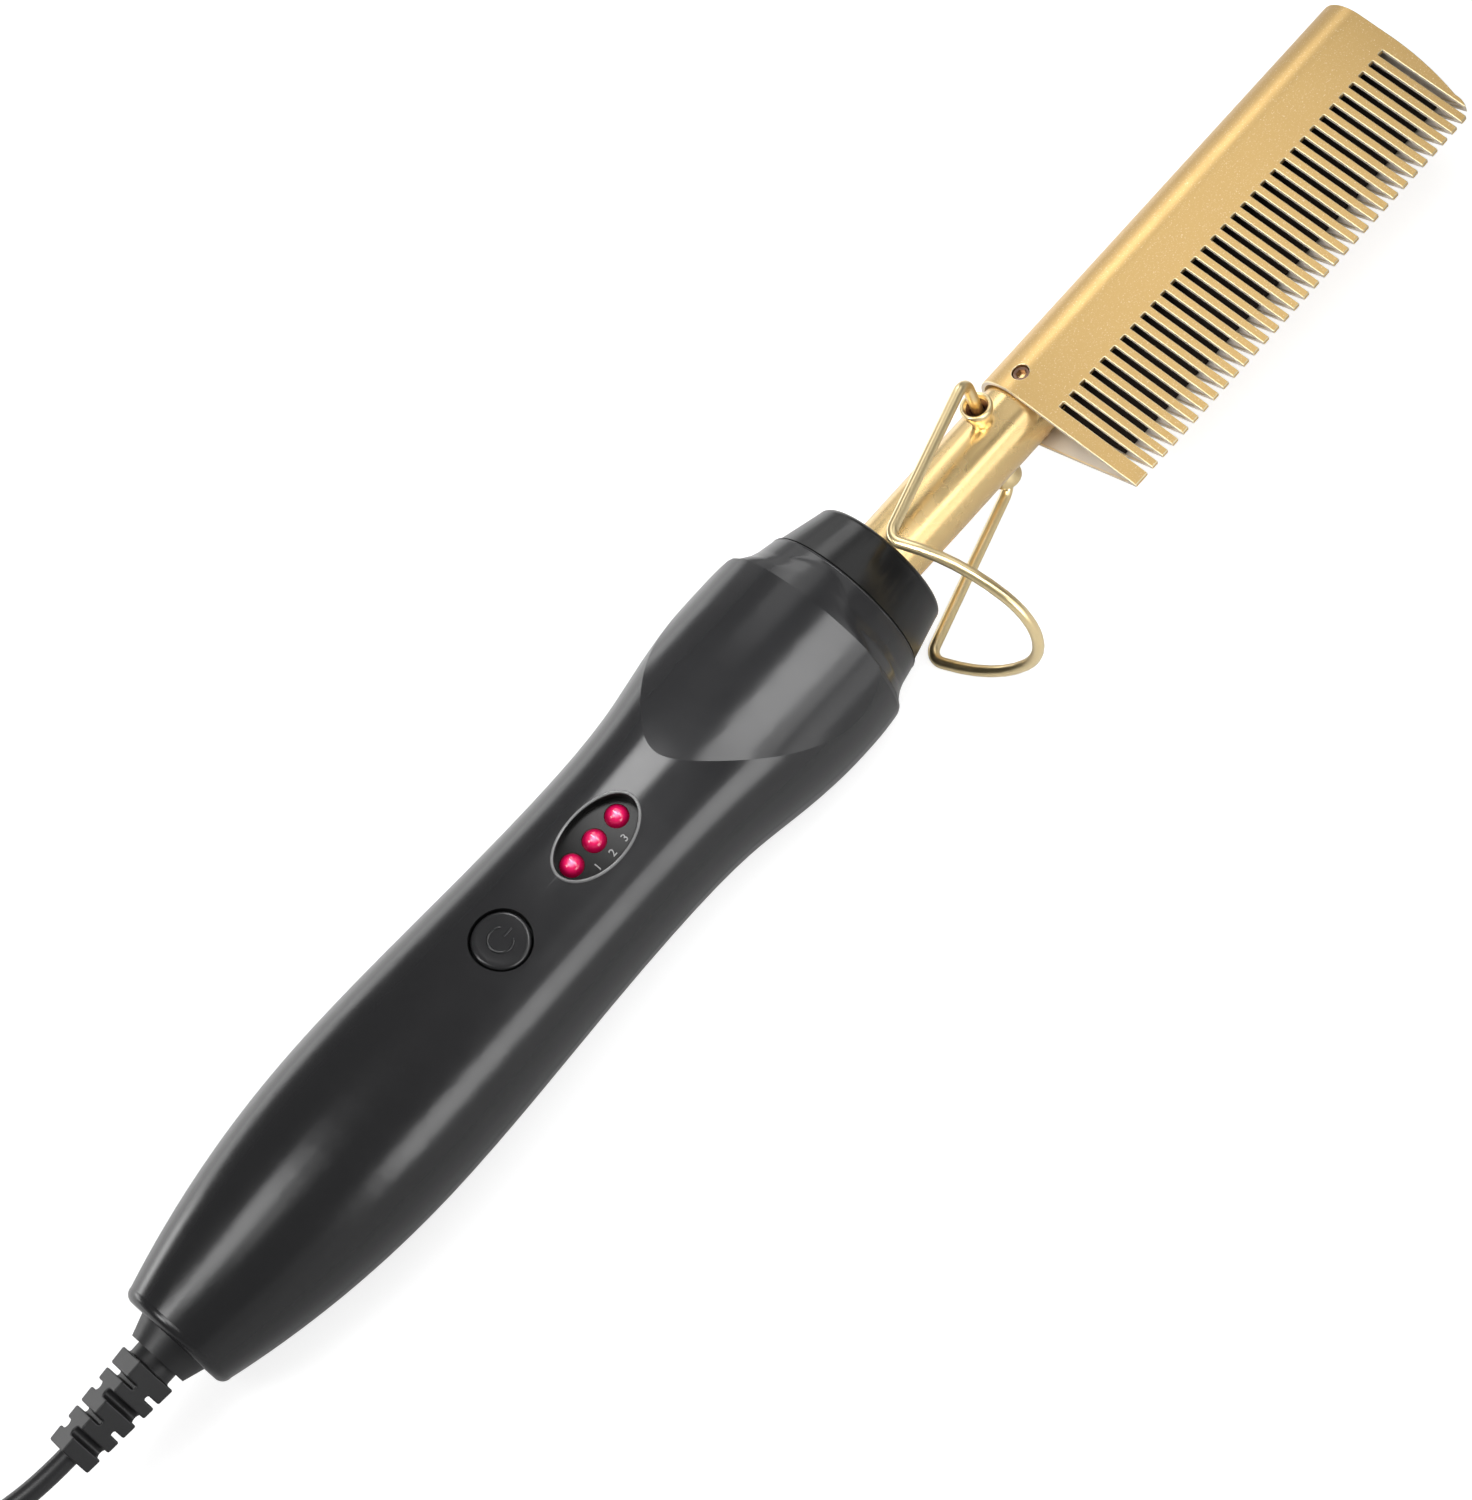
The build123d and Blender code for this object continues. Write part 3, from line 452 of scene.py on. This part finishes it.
def make_nose(material, seam_shadow_material):
    """Flared nose of the grip: r(x, a) is the smooth lesser of a round profile and an oval.

    The lesser radius is smoothed as (1 - p) oval + p round - BLEND p (1 - p), where p goes from 0
    to 1 as the oval passes the round one. The oval's short radius falls from the shoulder's flat
    to the seam. A fine lip, and a near-black bead that paints the seam's shadow, close the nose in
    front.
    """
    x = np.linspace(NOSE_BACK, NOSE_FRONT, 24)[:, None]
    a = np.linspace(0, 2 * math.pi, 256, endpoint=False)[None, :]
    turn = a - FLAT_TURN
    round_r = np.interp(x, NOSE_STEPS, NOSE_RADII) + NOSE_COVER
    oval_r = oval_radius(FLAT_BACK - FLAT_FALL * (x - NOSE_BACK), turn)
    part = np.clip(0.5 + 0.5 * (oval_r - round_r) / BLEND, 0, 1)
    radius = oval_r * (1 - part) + round_r * part - BLEND * part * (1 - part)
    radius = np.maximum(radius, np.minimum(round_r, oval_radius(SOLID_FLAT, turn) + 0.015))
    inner = np.full_like(a, NOSE_INNER)
    radius = np.concatenate([inner, radius, inner])
    x = np.concatenate([x[:1], x, x[-1:]])
    points = at_grip(x, radius * np.sin(a), radius * np.cos(a))
    add_piece("grip_nose", points, grid_faces(len(x), a.size, True), material, "tool")
    # The second bead, near black, is a painted shadow in the seam.
    for name, place, ring, thick, finish in (("nose_lip", 158.82, 15.12, 0.16, material),
                                             ("nose_seam_shadow", 159.1, 14.97, 0.17, seam_shadow_material)):
        path = at_grip(place, ring * np.sin(a[0]), ring * np.cos(a[0]))
        points, faces = bead(path, (1.0, 0.0, 0.0), thick * MM, 10, True)
        add_piece(name, points, faces, finish, "tool", sharp=80.0)


SCREW_X = 206.4                              # mm along the tool


def make_grub_screw(material):
    """Small screw with a six-sided socket: rings go from round at the rim to a hexagon within.

    The hexagon's radius is cos 30 / cos(a - 30) in each sixth of a turn; rows hold radius, height
    and whether the ring is six-sided.
    """
    a = np.linspace(0, 2 * math.pi, 48, endpoint=False)
    flat = math.cos(math.pi / 6) / np.cos((a % (math.pi / 3)) - math.pi / 6)
    rows = [(0.0, 5.0, 0), (1.45, 5.0, 0), (1.45, 6.82, 0), (1.3, 7.0, 0), (0.98, 7.0, 0),
            (0.92, 6.94, 1), (0.9, 6.05, 1), (0.55, 5.85, 1), (0.0, 5.8, 1)]
    radius = np.array([r * (flat if six else np.ones_like(a)) for r, h, six in rows])
    height = np.array([h for r, h, six in rows])[:, None] * np.ones_like(a)
    points = at_tool(SCREW_X + radius * np.cos(a), radius * np.sin(a), height)
    add_piece("grub_screw", points, grid_faces(len(rows), len(a)), material, "tool",
              ["head_screw"], 40.0)


# ---- button, window and figures ----
BUTTON_X = 78.55                             # mm along the tool
BUTTON_RADIUS = 4.8
BUTTON_FLANGE = 6.2                          # radius of the hidden flange
FLANGE_TOP, FLANGE_FOOT = 12.0, 11.0         # heights over the axis
WINDOW_X = 100.7
WINDOW_HALF_LENGTH = 8.85
WINDOW_HALF_WIDTH = 5.3
WINDOW_FLOOR = 13.03                         # height of the window's floor over the axis
RIM_LINE = 0.28                              # half the width of the bead round the window
RIM_INSET, RIM_SINK = 0.22, 0.06             # its middle, in from the opening and under the skin
FIGURE_SIZE, FIGURE_RELIEF = 1.9, 0.05       # size of the figures, and how far they stand off
SIGN_SINK = 0.34                             # the sign lies this far under the grip's skin
SIGN_LINE = 0.24                             # half the width of its lines


def grip_radius(x):
    """Radius of the grip from belly to shoulder: smooth steps from 16.95 to 15.45 to 18.95."""
    def ease(t):
        """Smooth step: t squared times (3 - 2t) for t between 0 and 1."""
        t = np.clip(t, 0, 1)
        return t * t * (3 - 2 * t)

    fall = ease((x - 50.0) / 51.0)
    rise = ease(np.clip((x - 101.0) / 38.0, 0, 1) ** 1.6)
    return 16.95 - 1.5 * fall + 3.5 * rise


def skin(x, side):
    """Height of the grip's skin over a point of the button face: the round section at x."""
    return np.sqrt(grip_radius(x) ** 2 - side ** 2)


def make_button(material):
    """Button that follows the grip's skin: a dished middle, a rolled edge, a skirt and a flange.

    The dish lies 0.34 - 0.16 (r / R)^4 under the skin, and the edge is a quarter of an ellipse.
    """
    a = np.linspace(0, 2 * math.pi, 72, endpoint=False)
    edge = np.linspace(0, math.pi / 2, 7)
    dish = np.array([0.0, 0.8, 1.6, 2.4, 3.1, 3.6, 3.95])
    radius = np.concatenate([dish, 4.2 + 0.6 * np.sin(edge),
                             [BUTTON_RADIUS, BUTTON_FLANGE, BUTTON_FLANGE, 0.0]])
    drop = np.concatenate([SIGN_SINK - 0.16 * (dish / dish[-1]) ** 4,
                           0.18 + 0.5 * (1 - np.cos(edge))])
    x = BUTTON_X + radius[:, None] * np.cos(a)
    side = radius[:, None] * np.sin(a)
    height = np.empty_like(x)
    top = len(drop)
    height[:top] = skin(x[:top], side[:top]) - drop[:, None]
    height[top:] = np.array([FLANGE_TOP, FLANGE_TOP, FLANGE_FOOT, FLANGE_FOOT])[:, None]
    add_piece("button_cap", at_grip(x, side, height), grid_faces(len(radius), len(a)), material,
              "button", ["power_button"], 50.0)


def raised_line(name, x, side, lift, radius, material, body, closed=False):
    """Bead along a line drawn on the grip's skin, tapered at its ends unless it is closed."""
    path = at_grip(x, side, skin(x, side) + lift)
    over = np.array([0.0, -math.sin(GRIP_ROLL), math.cos(GRIP_ROLL)])
    size = np.full(len(path), radius * MM)
    if not closed:
        s = np.linspace(-1, 1, len(path))
        size *= np.sqrt(np.maximum(1 - np.abs(s) ** 12, 1e-4))
    points, faces = bead(path, over, size, 12, closed)
    add_piece(name, points, faces, material, body, None, 60.0)


def make_power_sign(material):
    """Generic power sign on the button: an open arc and a short bar towards the comb."""
    a = np.radians(np.linspace(38, 322, 60))
    raised_line("sign_arc", BUTTON_X + 2.05 * np.cos(a), 2.05 * np.sin(a), -SIGN_SINK, SIGN_LINE,
                material, "button")
    x = np.linspace(BUTTON_X + 0.55, BUTTON_X + 2.7, 16)
    raised_line("sign_bar", x, np.zeros_like(x), -SIGN_SINK, SIGN_LINE, material,
                "button")


def make_window_rim(material):
    """Bead round the oval lamp window, on the grip's skin."""
    a = np.linspace(0, 2 * math.pi, 120, endpoint=False)
    x = WINDOW_X + (WINDOW_HALF_LENGTH - RIM_INSET) * np.cos(a)
    side = (WINDOW_HALF_WIDTH - RIM_INSET) * np.sin(a)
    raised_line("window_rim", x, side, -RIM_SINK, RIM_LINE, material, "tool",
                True)


def make_figures(material):
    """Plain figures 1, 2 and 3 by the lamps, thin raised letters on the window's floor."""
    for text, x, side in (("1", 97.6, -3.0), ("2", 100.85, -3.2), ("3", 103.9, -3.0)):
        curve = bpy.data.curves.new("figure_" + text, "FONT")
        curve.body = text
        curve.size = FIGURE_SIZE * MM
        curve.extrude = FIGURE_RELIEF * MM
        curve.resolution_u = 3
        curve.align_x = "CENTER"
        curve.align_y = "CENTER"
        flat = bpy.data.objects.new("flat_" + text, curve)
        mesh = bpy.data.meshes.new_from_object(flat)
        points = np.empty(len(mesh.vertices) * 3)
        mesh.vertices.foreach_get("co", points)
        points = points.reshape(-1, 3) / MM
        placed = at_grip(x + points[:, 0], side + points[:, 1], WINDOW_FLOOR + points[:, 2])
        faces = [tuple(face.vertices) for face in mesh.polygons]
        add_piece("figure_" + text, placed, faces, material, "tool", None, 30.0)
        bpy.data.objects.remove(flat)
        bpy.data.curves.remove(curve)
        bpy.data.meshes.remove(mesh)


# ---- node groups shared by the finishes ----
GRAIN_DEPTH = 0.00002                        # metres


def new_group(name, inputs, outputs):
    """Empty shader group with float, vector or colour sockets."""
    group = bpy.data.node_groups.new(name, "ShaderNodeTree")
    kinds = {float: "NodeSocketFloat", tuple: "NodeSocketColor", str: "NodeSocketVector"}
    for label, value in inputs:
        socket = group.interface.new_socket(label, in_out="INPUT", socket_type=kinds[type(value)])
        if not isinstance(value, str):
            socket.default_value = value
    for label, kind in outputs:
        group.interface.new_socket(label, in_out="OUTPUT", socket_type=kinds[kind])
    entry = group.nodes.new("NodeGroupInput")
    exit_node = group.nodes.new("NodeGroupOutput")
    return group, entry, exit_node


def math_node(tree, operation, a, b=None):
    """Math node fed by sockets or numbers."""
    node = tree.nodes.new("ShaderNodeMath")
    node.operation = operation
    for socket, value in zip(node.inputs, (a, b)):
        if value is None:
            continue
        if isinstance(value, (int, float)):
            socket.default_value = value
        else:
            tree.links.new(value, socket)
    return node.outputs[0]


def spread(tree, value, low, high, to_low=0.0, to_high=1.0):
    """Smooth map of a value from one range to another."""
    node = tree.nodes.new("ShaderNodeMapRange")
    node.interpolation_type = "SMOOTHSTEP"
    for label, number in (("From Min", low), ("From Max", high),
                          ("To Min", to_low), ("To Max", to_high)):
        if isinstance(number, (int, float)):
            node.inputs[label].default_value = number
        else:
            tree.links.new(number, node.inputs[label])
    tree.links.new(value, node.inputs["Value"])
    return node.outputs["Result"]


def mixed(tree, factor, a, b):
    """Mix of two colours by a factor socket."""
    node = tree.nodes.new("ShaderNodeMix")
    node.data_type = "RGBA"
    tree.links.new(factor, node.inputs[0])
    for socket, value in ((node.inputs[6], a), (node.inputs[7], b)):
        if isinstance(value, tuple):
            socket.default_value = (*value, 1.0) if len(value) == 3 else value
        else:
            tree.links.new(value, socket)
    return node.outputs[2]


def noise(tree, vector, scale, detail=2.0, rough=0.5):
    """Noise factor at a scale per metre."""
    node = tree.nodes.new("ShaderNodeTexNoise")
    node.inputs["Detail"].default_value = detail
    node.inputs["Roughness"].default_value = rough
    if isinstance(scale, (int, float)):
        node.inputs["Scale"].default_value = scale
    else:
        tree.links.new(scale, node.inputs["Scale"])
    tree.links.new(vector, node.inputs["Vector"])
    return node.outputs["Fac"]


def grain_group():
    """Fine grain and slow cloud of a moulded or plated surface.

    Height is a fine noise; Speckle is its peaks; Cloud is a noise twenty times coarser.
    """
    group, entry, leave = new_group(
        "grain", [("Vector", "v"), ("Scale", 4000.0), ("Peak", 0.62)],
        [("Height", float), ("Speckle", float), ("Cloud", float)])
    fine = noise(group, entry.outputs["Vector"], entry.outputs["Scale"], 3.0, 0.6)
    slow = math_node(group, "MULTIPLY", entry.outputs["Scale"], 0.05)
    cloud = noise(group, entry.outputs["Vector"], slow, 2.0)
    high = math_node(group, "ADD", entry.outputs["Peak"], 0.12)
    group.links.new(fine, leave.inputs["Height"])
    group.links.new(spread(group, fine, entry.outputs["Peak"], high), leave.inputs["Speckle"])
    group.links.new(cloud, leave.inputs["Cloud"])
    return group


def new_material(name, colour, roughness, metallic=0.0, **sockets):
    """Material with one Principled shader, plain numbers set on its own sockets."""
    material = bpy.data.materials.new(name)
    material.use_nodes = True
    material.diffuse_color = (*colour, 1.0)
    shader = material.node_tree.nodes["Principled BSDF"]
    shader.inputs["Base Color"].default_value = (*colour, 1.0)
    shader.inputs["Roughness"].default_value = roughness
    shader.inputs["Metallic"].default_value = metallic
    for label, value in sockets.items():
        shader.inputs[label.replace("_", " ")].default_value = value
    return material, shader


def object_place(tree):
    """Object coordinates, in metres."""
    return tree.nodes.new("ShaderNodeTexCoord").outputs["Object"]


def bump(tree, shader, height, strength):
    """Bump from a height socket into the shader's normal, GRAIN_DEPTH deep at full strength."""
    node = tree.nodes.new("ShaderNodeBump")
    node.inputs["Strength"].default_value = strength
    node.inputs["Distance"].default_value = GRAIN_DEPTH
    tree.links.new(height, node.inputs["Height"])
    tree.links.new(node.outputs["Normal"], shader.inputs["Normal"])


def placed_grain(tree, scale, peak):
    """The grain group, reading the piece's own coordinates."""
    node = tree.nodes.new("ShaderNodeGroup")
    node.node_tree = GRAIN
    node.inputs["Scale"].default_value = scale
    node.inputs["Peak"].default_value = peak
    tree.links.new(object_place(tree), node.inputs["Vector"])
    return node


def moulded(name, colour, pale, roughness, scale, strength, **sockets):
    """Moulded plastic: fine grain in the surface, a slow change of gloss."""
    material, shader = new_material(name, colour, roughness, 0.0, **sockets)
    tree = material.node_tree
    grain = placed_grain(tree, scale, 0.6)
    tree.links.new(mixed(tree, grain.outputs["Cloud"], colour, pale), shader.inputs["Base Color"])
    tree.links.new(spread(tree, grain.outputs["Cloud"], 0.3, 0.7,
                          roughness - 0.01, roughness + 0.01),
                   shader.inputs["Roughness"])
    bump(tree, shader, grain.outputs["Height"], strength)
    return material


def plated(name, colour, pale, roughness, scale, strength):
    """Lacquered gold plating: metal with a fine pale speckle and a slow change of gloss."""
    material, shader = new_material(name, colour, roughness, 1.0, Coat_Weight=0.6,
                                    Coat_Roughness=roughness)
    tree = material.node_tree
    grain = placed_grain(tree, scale, 0.58)
    tree.links.new(mixed(tree, grain.outputs["Speckle"], colour, pale), shader.inputs["Base Color"])
    tree.links.new(spread(tree, grain.outputs["Cloud"], 0.3, 0.7,
                          roughness - 0.015, roughness + 0.015),
                   shader.inputs["Roughness"])
    bump(tree, shader, grain.outputs["Height"], strength)
    return material


GRAIN = grain_group()

# ---- finishes ----
GOLD = (0.78, 0.52, 0.2)
GOLD_PALE = (0.93, 0.70, 0.36)
BLACK = (0.017, 0.017, 0.018)
BLACK_PALE = (0.0185, 0.0185, 0.0195)


def simple(name, colour, roughness, metallic=0.0, scale=3000.0, strength=0.1, **sockets):
    """Plain finish of an inner piece, with a light grain."""
    material, shader = new_material(name, colour, roughness, metallic, **sockets)
    tree = material.node_tree
    grain = placed_grain(tree, scale, 0.6)
    pale = tuple(min(1.0, c * 1.15 + 0.004) for c in colour)
    tree.links.new(mixed(tree, grain.outputs["Cloud"], colour, pale), shader.inputs["Base Color"])
    bump(tree, shader, grain.outputs["Height"], strength)
    return material


def lamp_lens():
    """Lit lamp: the glow falls from pink-white over each lamp's middle to red and dark crimson.

    The distance is measured across each lamp's axis, which repeats at the lamps' pitch.
    """
    pitch, middle, beside = 0.00529, BUTT_X + 0.10045, 0.00028
    material, shader = new_material("lamp_lens", (0.25, 0.0, 0.03), 0.16, 0.0,
                                    Emission_Strength=1.0, Coat_Weight=0.4,
                                    Coat_Roughness=0.06)
    tree = material.node_tree
    parts = tree.nodes.new("ShaderNodeSeparateXYZ")
    tree.links.new(object_place(tree), parts.inputs[0])
    c, s = math.cos(GRIP_ROLL), math.sin(GRIP_ROLL)
    shifted = math_node(tree, "ADD", parts.outputs[0], 1.5 * pitch - middle)
    along = math_node(tree, "SUBTRACT", math_node(tree, "MODULO", shifted, pitch), pitch / 2)
    side = math_node(tree, "ADD", math_node(tree, "MULTIPLY", parts.outputs[1], c),
                     math_node(tree, "MULTIPLY", parts.outputs[2], s))
    side = math_node(tree, "SUBTRACT", side, AXIS_Y * c + AXIS_Z * s + beside)
    squares = math_node(tree, "ADD", math_node(tree, "MULTIPLY", along, along),
                        math_node(tree, "MULTIPLY", side, side))
    distance = math_node(tree, "SQRT", squares)
    warm = mixed(tree, spread(tree, distance, 0.0, 0.0009), (0.95, 0.42, 0.7), (0.62, 0.012, 0.1))
    glow = mixed(tree, spread(tree, distance, 0.0007, 0.0018), warm, (0.09, 0.0, 0.01))
    tree.links.new(glow, shader.inputs["Emission Color"])
    grain = placed_grain(tree, 4000.0, 0.6)
    bump(tree, shader, grain.outputs["Height"], 0.03)
    return material


# ---- stage ----
FLOOR_GLOW = 0.78                            # with the lamps' light on it, white to the camera


def make_stage():
    """Pale floor under the tool, white to the camera, with the tool's shadow.

    In reflections it shows a painted glow, brightest behind the grip and falling off towards
    the teeth and the comb.
    """
    mesh = bpy.data.meshes.new("floor")
    half = 3.0
    corners = [(-half, -half, 0), (half, -half, 0), (half, half, 0), (-half, half, 0)]
    mesh.from_pydata(corners, [], [(0, 1, 2, 3)])
    floor = bpy.data.objects.new("floor", mesh)
    bpy.context.scene.collection.objects.link(floor)
    material, shader = new_material("floor", (0.5, 0.5, 0.5), 0.9)
    shader.inputs["Specular IOR Level"].default_value = 0.0
    tree = material.node_tree
    path = tree.nodes.new("ShaderNodeLightPath")
    glow = tree.nodes.new("ShaderNodeEmission")
    parts = tree.nodes.new("ShaderNodeSeparateXYZ")
    tree.links.new(object_place(tree), parts.inputs[0])
    # Painted reflection: the floor glows to glossy rays only, brightest behind the grip.
    painted_reflection = math_node(tree, "MULTIPLY", spread(tree, parts.outputs[1], -0.02, 0.12, 0.1, 1.0),
                         spread(tree, parts.outputs[0], 0.1, 0.22, 1.0, 0.3))
    seen = math_node(tree, "MAXIMUM",
                     math_node(tree, "MULTIPLY", path.outputs["Is Camera Ray"], FLOOR_GLOW),
                     math_node(tree, "MULTIPLY", path.outputs["Is Glossy Ray"], painted_reflection))
    tree.links.new(seen, glow.inputs["Strength"])
    total = tree.nodes.new("ShaderNodeAddShader")
    tree.links.new(shader.outputs[0], total.inputs[0])
    tree.links.new(glow.outputs[0], total.inputs[1])
    tree.links.new(total.outputs[0], tree.nodes["Material Output"].inputs["Surface"])
    mesh.materials.append(material)


# softboxes: name, place, point looked at, width and height in metres, and brightness
GRIP_POINT = (-0.06, 0, 0.02)
TUBE_POINT = (0.045, 0, 0.02)
SOFTBOXES = [
    ("overhead", (-0.4, 0.0, 0.96), GRIP_POINT, 0.36, 0.36, 4.4),
    ("overhead_spine", (-0.67, 0.19, 0.78), GRIP_POINT, 0.28, 0.32, 6.0),
    ("overhead_teeth", (-0.34, -0.3, 0.93), GRIP_POINT, 0.25, 0.28, 1.5),
    ("comb_panel", (0.155, -0.01, 0.13), (0.135, -0.01, 0.02), 0.11, 0.1, 0.73),
    ("shoulder_panel", (0.032, -0.066, 0.131), (0.0055, -0.003, 0.03), 0.05, 0.078, 5.0),
    ("waist_panel", (-0.018, 0.0152, 0.081), (-0.0225, 0.004, 0.0325), 0.012, 0.045, 8.0),
    ("teeth_side", (-0.03, -0.345, 0.07), GRIP_POINT, 0.15, 0.14, 3.7),
    ("tube_teeth", (0.118, -0.284, 0.212), TUBE_POINT, 0.14, 0.09, 2.3),
    ("tube_low", (0.13, -0.33, 0.08), TUBE_POINT, 0.14, 0.15, 1.1),
    ("comb_spine", (0.188, 0.305, 0.159), (0.115, -0.008, 0.02), 0.18, 0.12, 0.7),
    ("comb_back", (0.205, 0.196, 0.248), (0.125, -0.008, 0.02), 0.14, 0.12, 2.3),
    ("tube_back", (0.0575, 0.044, 0.126), TUBE_POINT, 0.055, 0.045, 0.9),
    ("spine_strip", (-0.075, 0.49, 0.05), GRIP_POINT, 0.45, 0.1, 1.3),
    ("spine_side", (-0.29, 0.494, 0.089), GRIP_POINT, 0.2, 0.1, 3.0),
]


def softbox(name, place, target, width, height, brightness):
    """Soft rectangular lamp that looks at a point; brightness 1 is a white face."""
    data = bpy.data.lights.new(name, "AREA")
    data.shape = "RECTANGLE"
    data.size = width
    data.size_y = height
    data.energy = 4 * width * height * brightness
    lamp = bpy.data.objects.new(name, data)
    lamp.location = place
    lamp.rotation_mode = "QUATERNION"
    back = (Vector(place) - Vector(target)).normalized()
    across = Vector((1, 0, 0)) - back * back.x
    across.normalize()
    turn = Matrix((across, back.cross(across), back)).transposed()
    lamp.rotation_quaternion = turn.to_quaternion()
    lamp.visible_camera = False
    bpy.context.scene.collection.objects.link(lamp)


def make_lights():
    """Plain studio: a pale horizon under a dim ceiling, and softboxes above and at both sides."""
    world = bpy.data.worlds.new("studio")
    bpy.context.scene.world = world
    world.use_nodes = True
    tree = world.node_tree
    parts = tree.nodes.new("ShaderNodeSeparateXYZ")
    tree.links.new(tree.nodes.new("ShaderNodeTexCoord").outputs["Generated"], parts.inputs[0])
    horizon = spread(tree, parts.outputs[1], -0.4, 0.4, 0.45, 0.7)
    sky = tree.nodes["Background"]
    tree.links.new(spread(tree, parts.outputs[2], 0.02, 0.3, horizon, 0.15), sky.inputs["Strength"])
    sky.inputs["Color"].default_value = (1, 1, 1, 1)
    for box in SOFTBOXES:
        softbox(*box)


# ---- put together ----
scene = bpy.context.scene
scene.view_settings.view_transform = "Standard"
make_camera()
cord_sheath = simple("cord_sheath", (0.02, 0.02, 0.021), 0.38)
make_cord(cord_sheath)

gold_wire = plated("gold_wire", (0.95, 0.76, 0.41), (0.98, 0.85, 0.54), 0.29, 6000.0, 0.02)
# Paler gold on the comb's rounded edges: a painted highlight along every edge.
comb_edge_highlight = plated("comb_edge_highlight", (0.97, 0.83, 0.52), (1.0, 0.92, 0.70), 0.32, 6000.0, 0.05)
comb_inside = simple("comb_inside", (0.74, 0.67, 0.58), 0.6, 0.3)
button_plastic = moulded("button_plastic", BLACK, BLACK_PALE, 0.25, 5200.0, 0.06)
window_plastic = moulded("window_plastic", (0.006, 0.006, 0.006), (0.008, 0.008, 0.008), 0.25,
                         5200.0, 0.04, Specular_IOR_Level=0.2)
# The window's bead is grey, far paler than the black grip: a painted highlight.
rim_highlight_plastic = moulded("rim_highlight_plastic", (0.15, 0.15, 0.15), (0.17, 0.17, 0.17), 0.2, 5200.0, 0.03)
figure_paint = simple("figure_paint", (0.3, 0.3, 0.3), 0.4)
dark_steel = simple("dark_steel", (0.2, 0.12, 0.085), 0.35, 1.0, 2500.0, 0.3)
finishes = {
    "grip_plastic": moulded("grip_plastic", BLACK, BLACK_PALE, 0.22, 5200.0, 0.06),
    "collar_plastic": moulded("collar_plastic", (0.003, 0.003, 0.003), (0.004, 0.004, 0.004), 0.26,
                              5200.0, 0.03),
    "gold_tube": plated("gold_tube", (0.84, 0.60, 0.27), GOLD_PALE, 0.27, 5000.0, 0.06),
    "gold_comb": plated("gold_comb", GOLD, (1.0, 0.80, 0.50), 0.4, 4200.0, 0.35),
    "gold_wire": gold_wire,
    "heat_fibre": simple("heat_fibre", (0.5, 0.45, 0.36), 0.9, strength=0.4),
    "steel": simple("steel", (0.55, 0.55, 0.56), 0.35, 1.0),
    "dark_steel": dark_steel,
    # The heater blade is near black and matt: painted shade that keeps the comb's slots dark.
    "ceramic": simple("ceramic", (0.012, 0.008, 0.006), 0.95, Specular_IOR_Level=0.1),
    "sleeving": simple("sleeving", (0.78, 0.75, 0.68), 0.85, strength=0.4),
    "fuse_case": simple("fuse_case", (0.75, 0.75, 0.75), 0.3, 1.0),
    "button_plastic": button_plastic,
    "switch_case": simple("switch_case", (0.08, 0.08, 0.08), 0.5),
    "board": simple("board", (0.03, 0.2, 0.08), 0.35),
    "lamp_lens": lamp_lens(),
    "window_plastic": window_plastic,
    "relief_plastic": moulded("relief_plastic", BLACK, BLACK_PALE, 0.42, 4200.0, 0.15),
    "contact_brass": simple("contact_brass", (0.75, 0.52, 0.22), 0.3, 1.0),
    "cord_sheath": cord_sheath,
    "tie_strap": simple("tie_strap", (0.03, 0.03, 0.03), 0.7),
    "pin_metal": simple("pin_metal", (0.72, 0.71, 0.69), 0.22, 1.0),
}
# Near-black matt bead in the nose's seam: a painted shadow of the gap.
seam_shadow_black = simple("seam_shadow_black", (0.0015, 0.0015, 0.0015), 0.9, Specular_IOR_Level=0.05)
for node, slot in slot_of.items():
    nodes[node].material_slots[0].material = finishes[slot]

eased_copy("comb_body", "comb_head", finishes["gold_comb"], 0.13, comb_edge_highlight,
           inside_comb, comb_inside)
eased_copy("relief_ribs", "strain_relief", finishes["relief_plastic"], 0.3)
eased_copy("collar_eased", "nose_collar", finishes["collar_plastic"], 0.15)
make_stand(gold_wire)
make_stud("stud_cup_upper", 1, gold_wire, dark_steel, "upper_stud")
make_stud("stud_cup_lower", -1, gold_wire, dark_steel, "lower_stud")
make_grub_screw(dark_steel)
make_barrel(finishes["gold_tube"])
make_nose(finishes["grip_plastic"], seam_shadow_black)
make_button(button_plastic)
make_power_sign(button_plastic)
make_window_rim(rim_highlight_plastic)
make_figures(figure_paint)
make_stage()
make_lights()
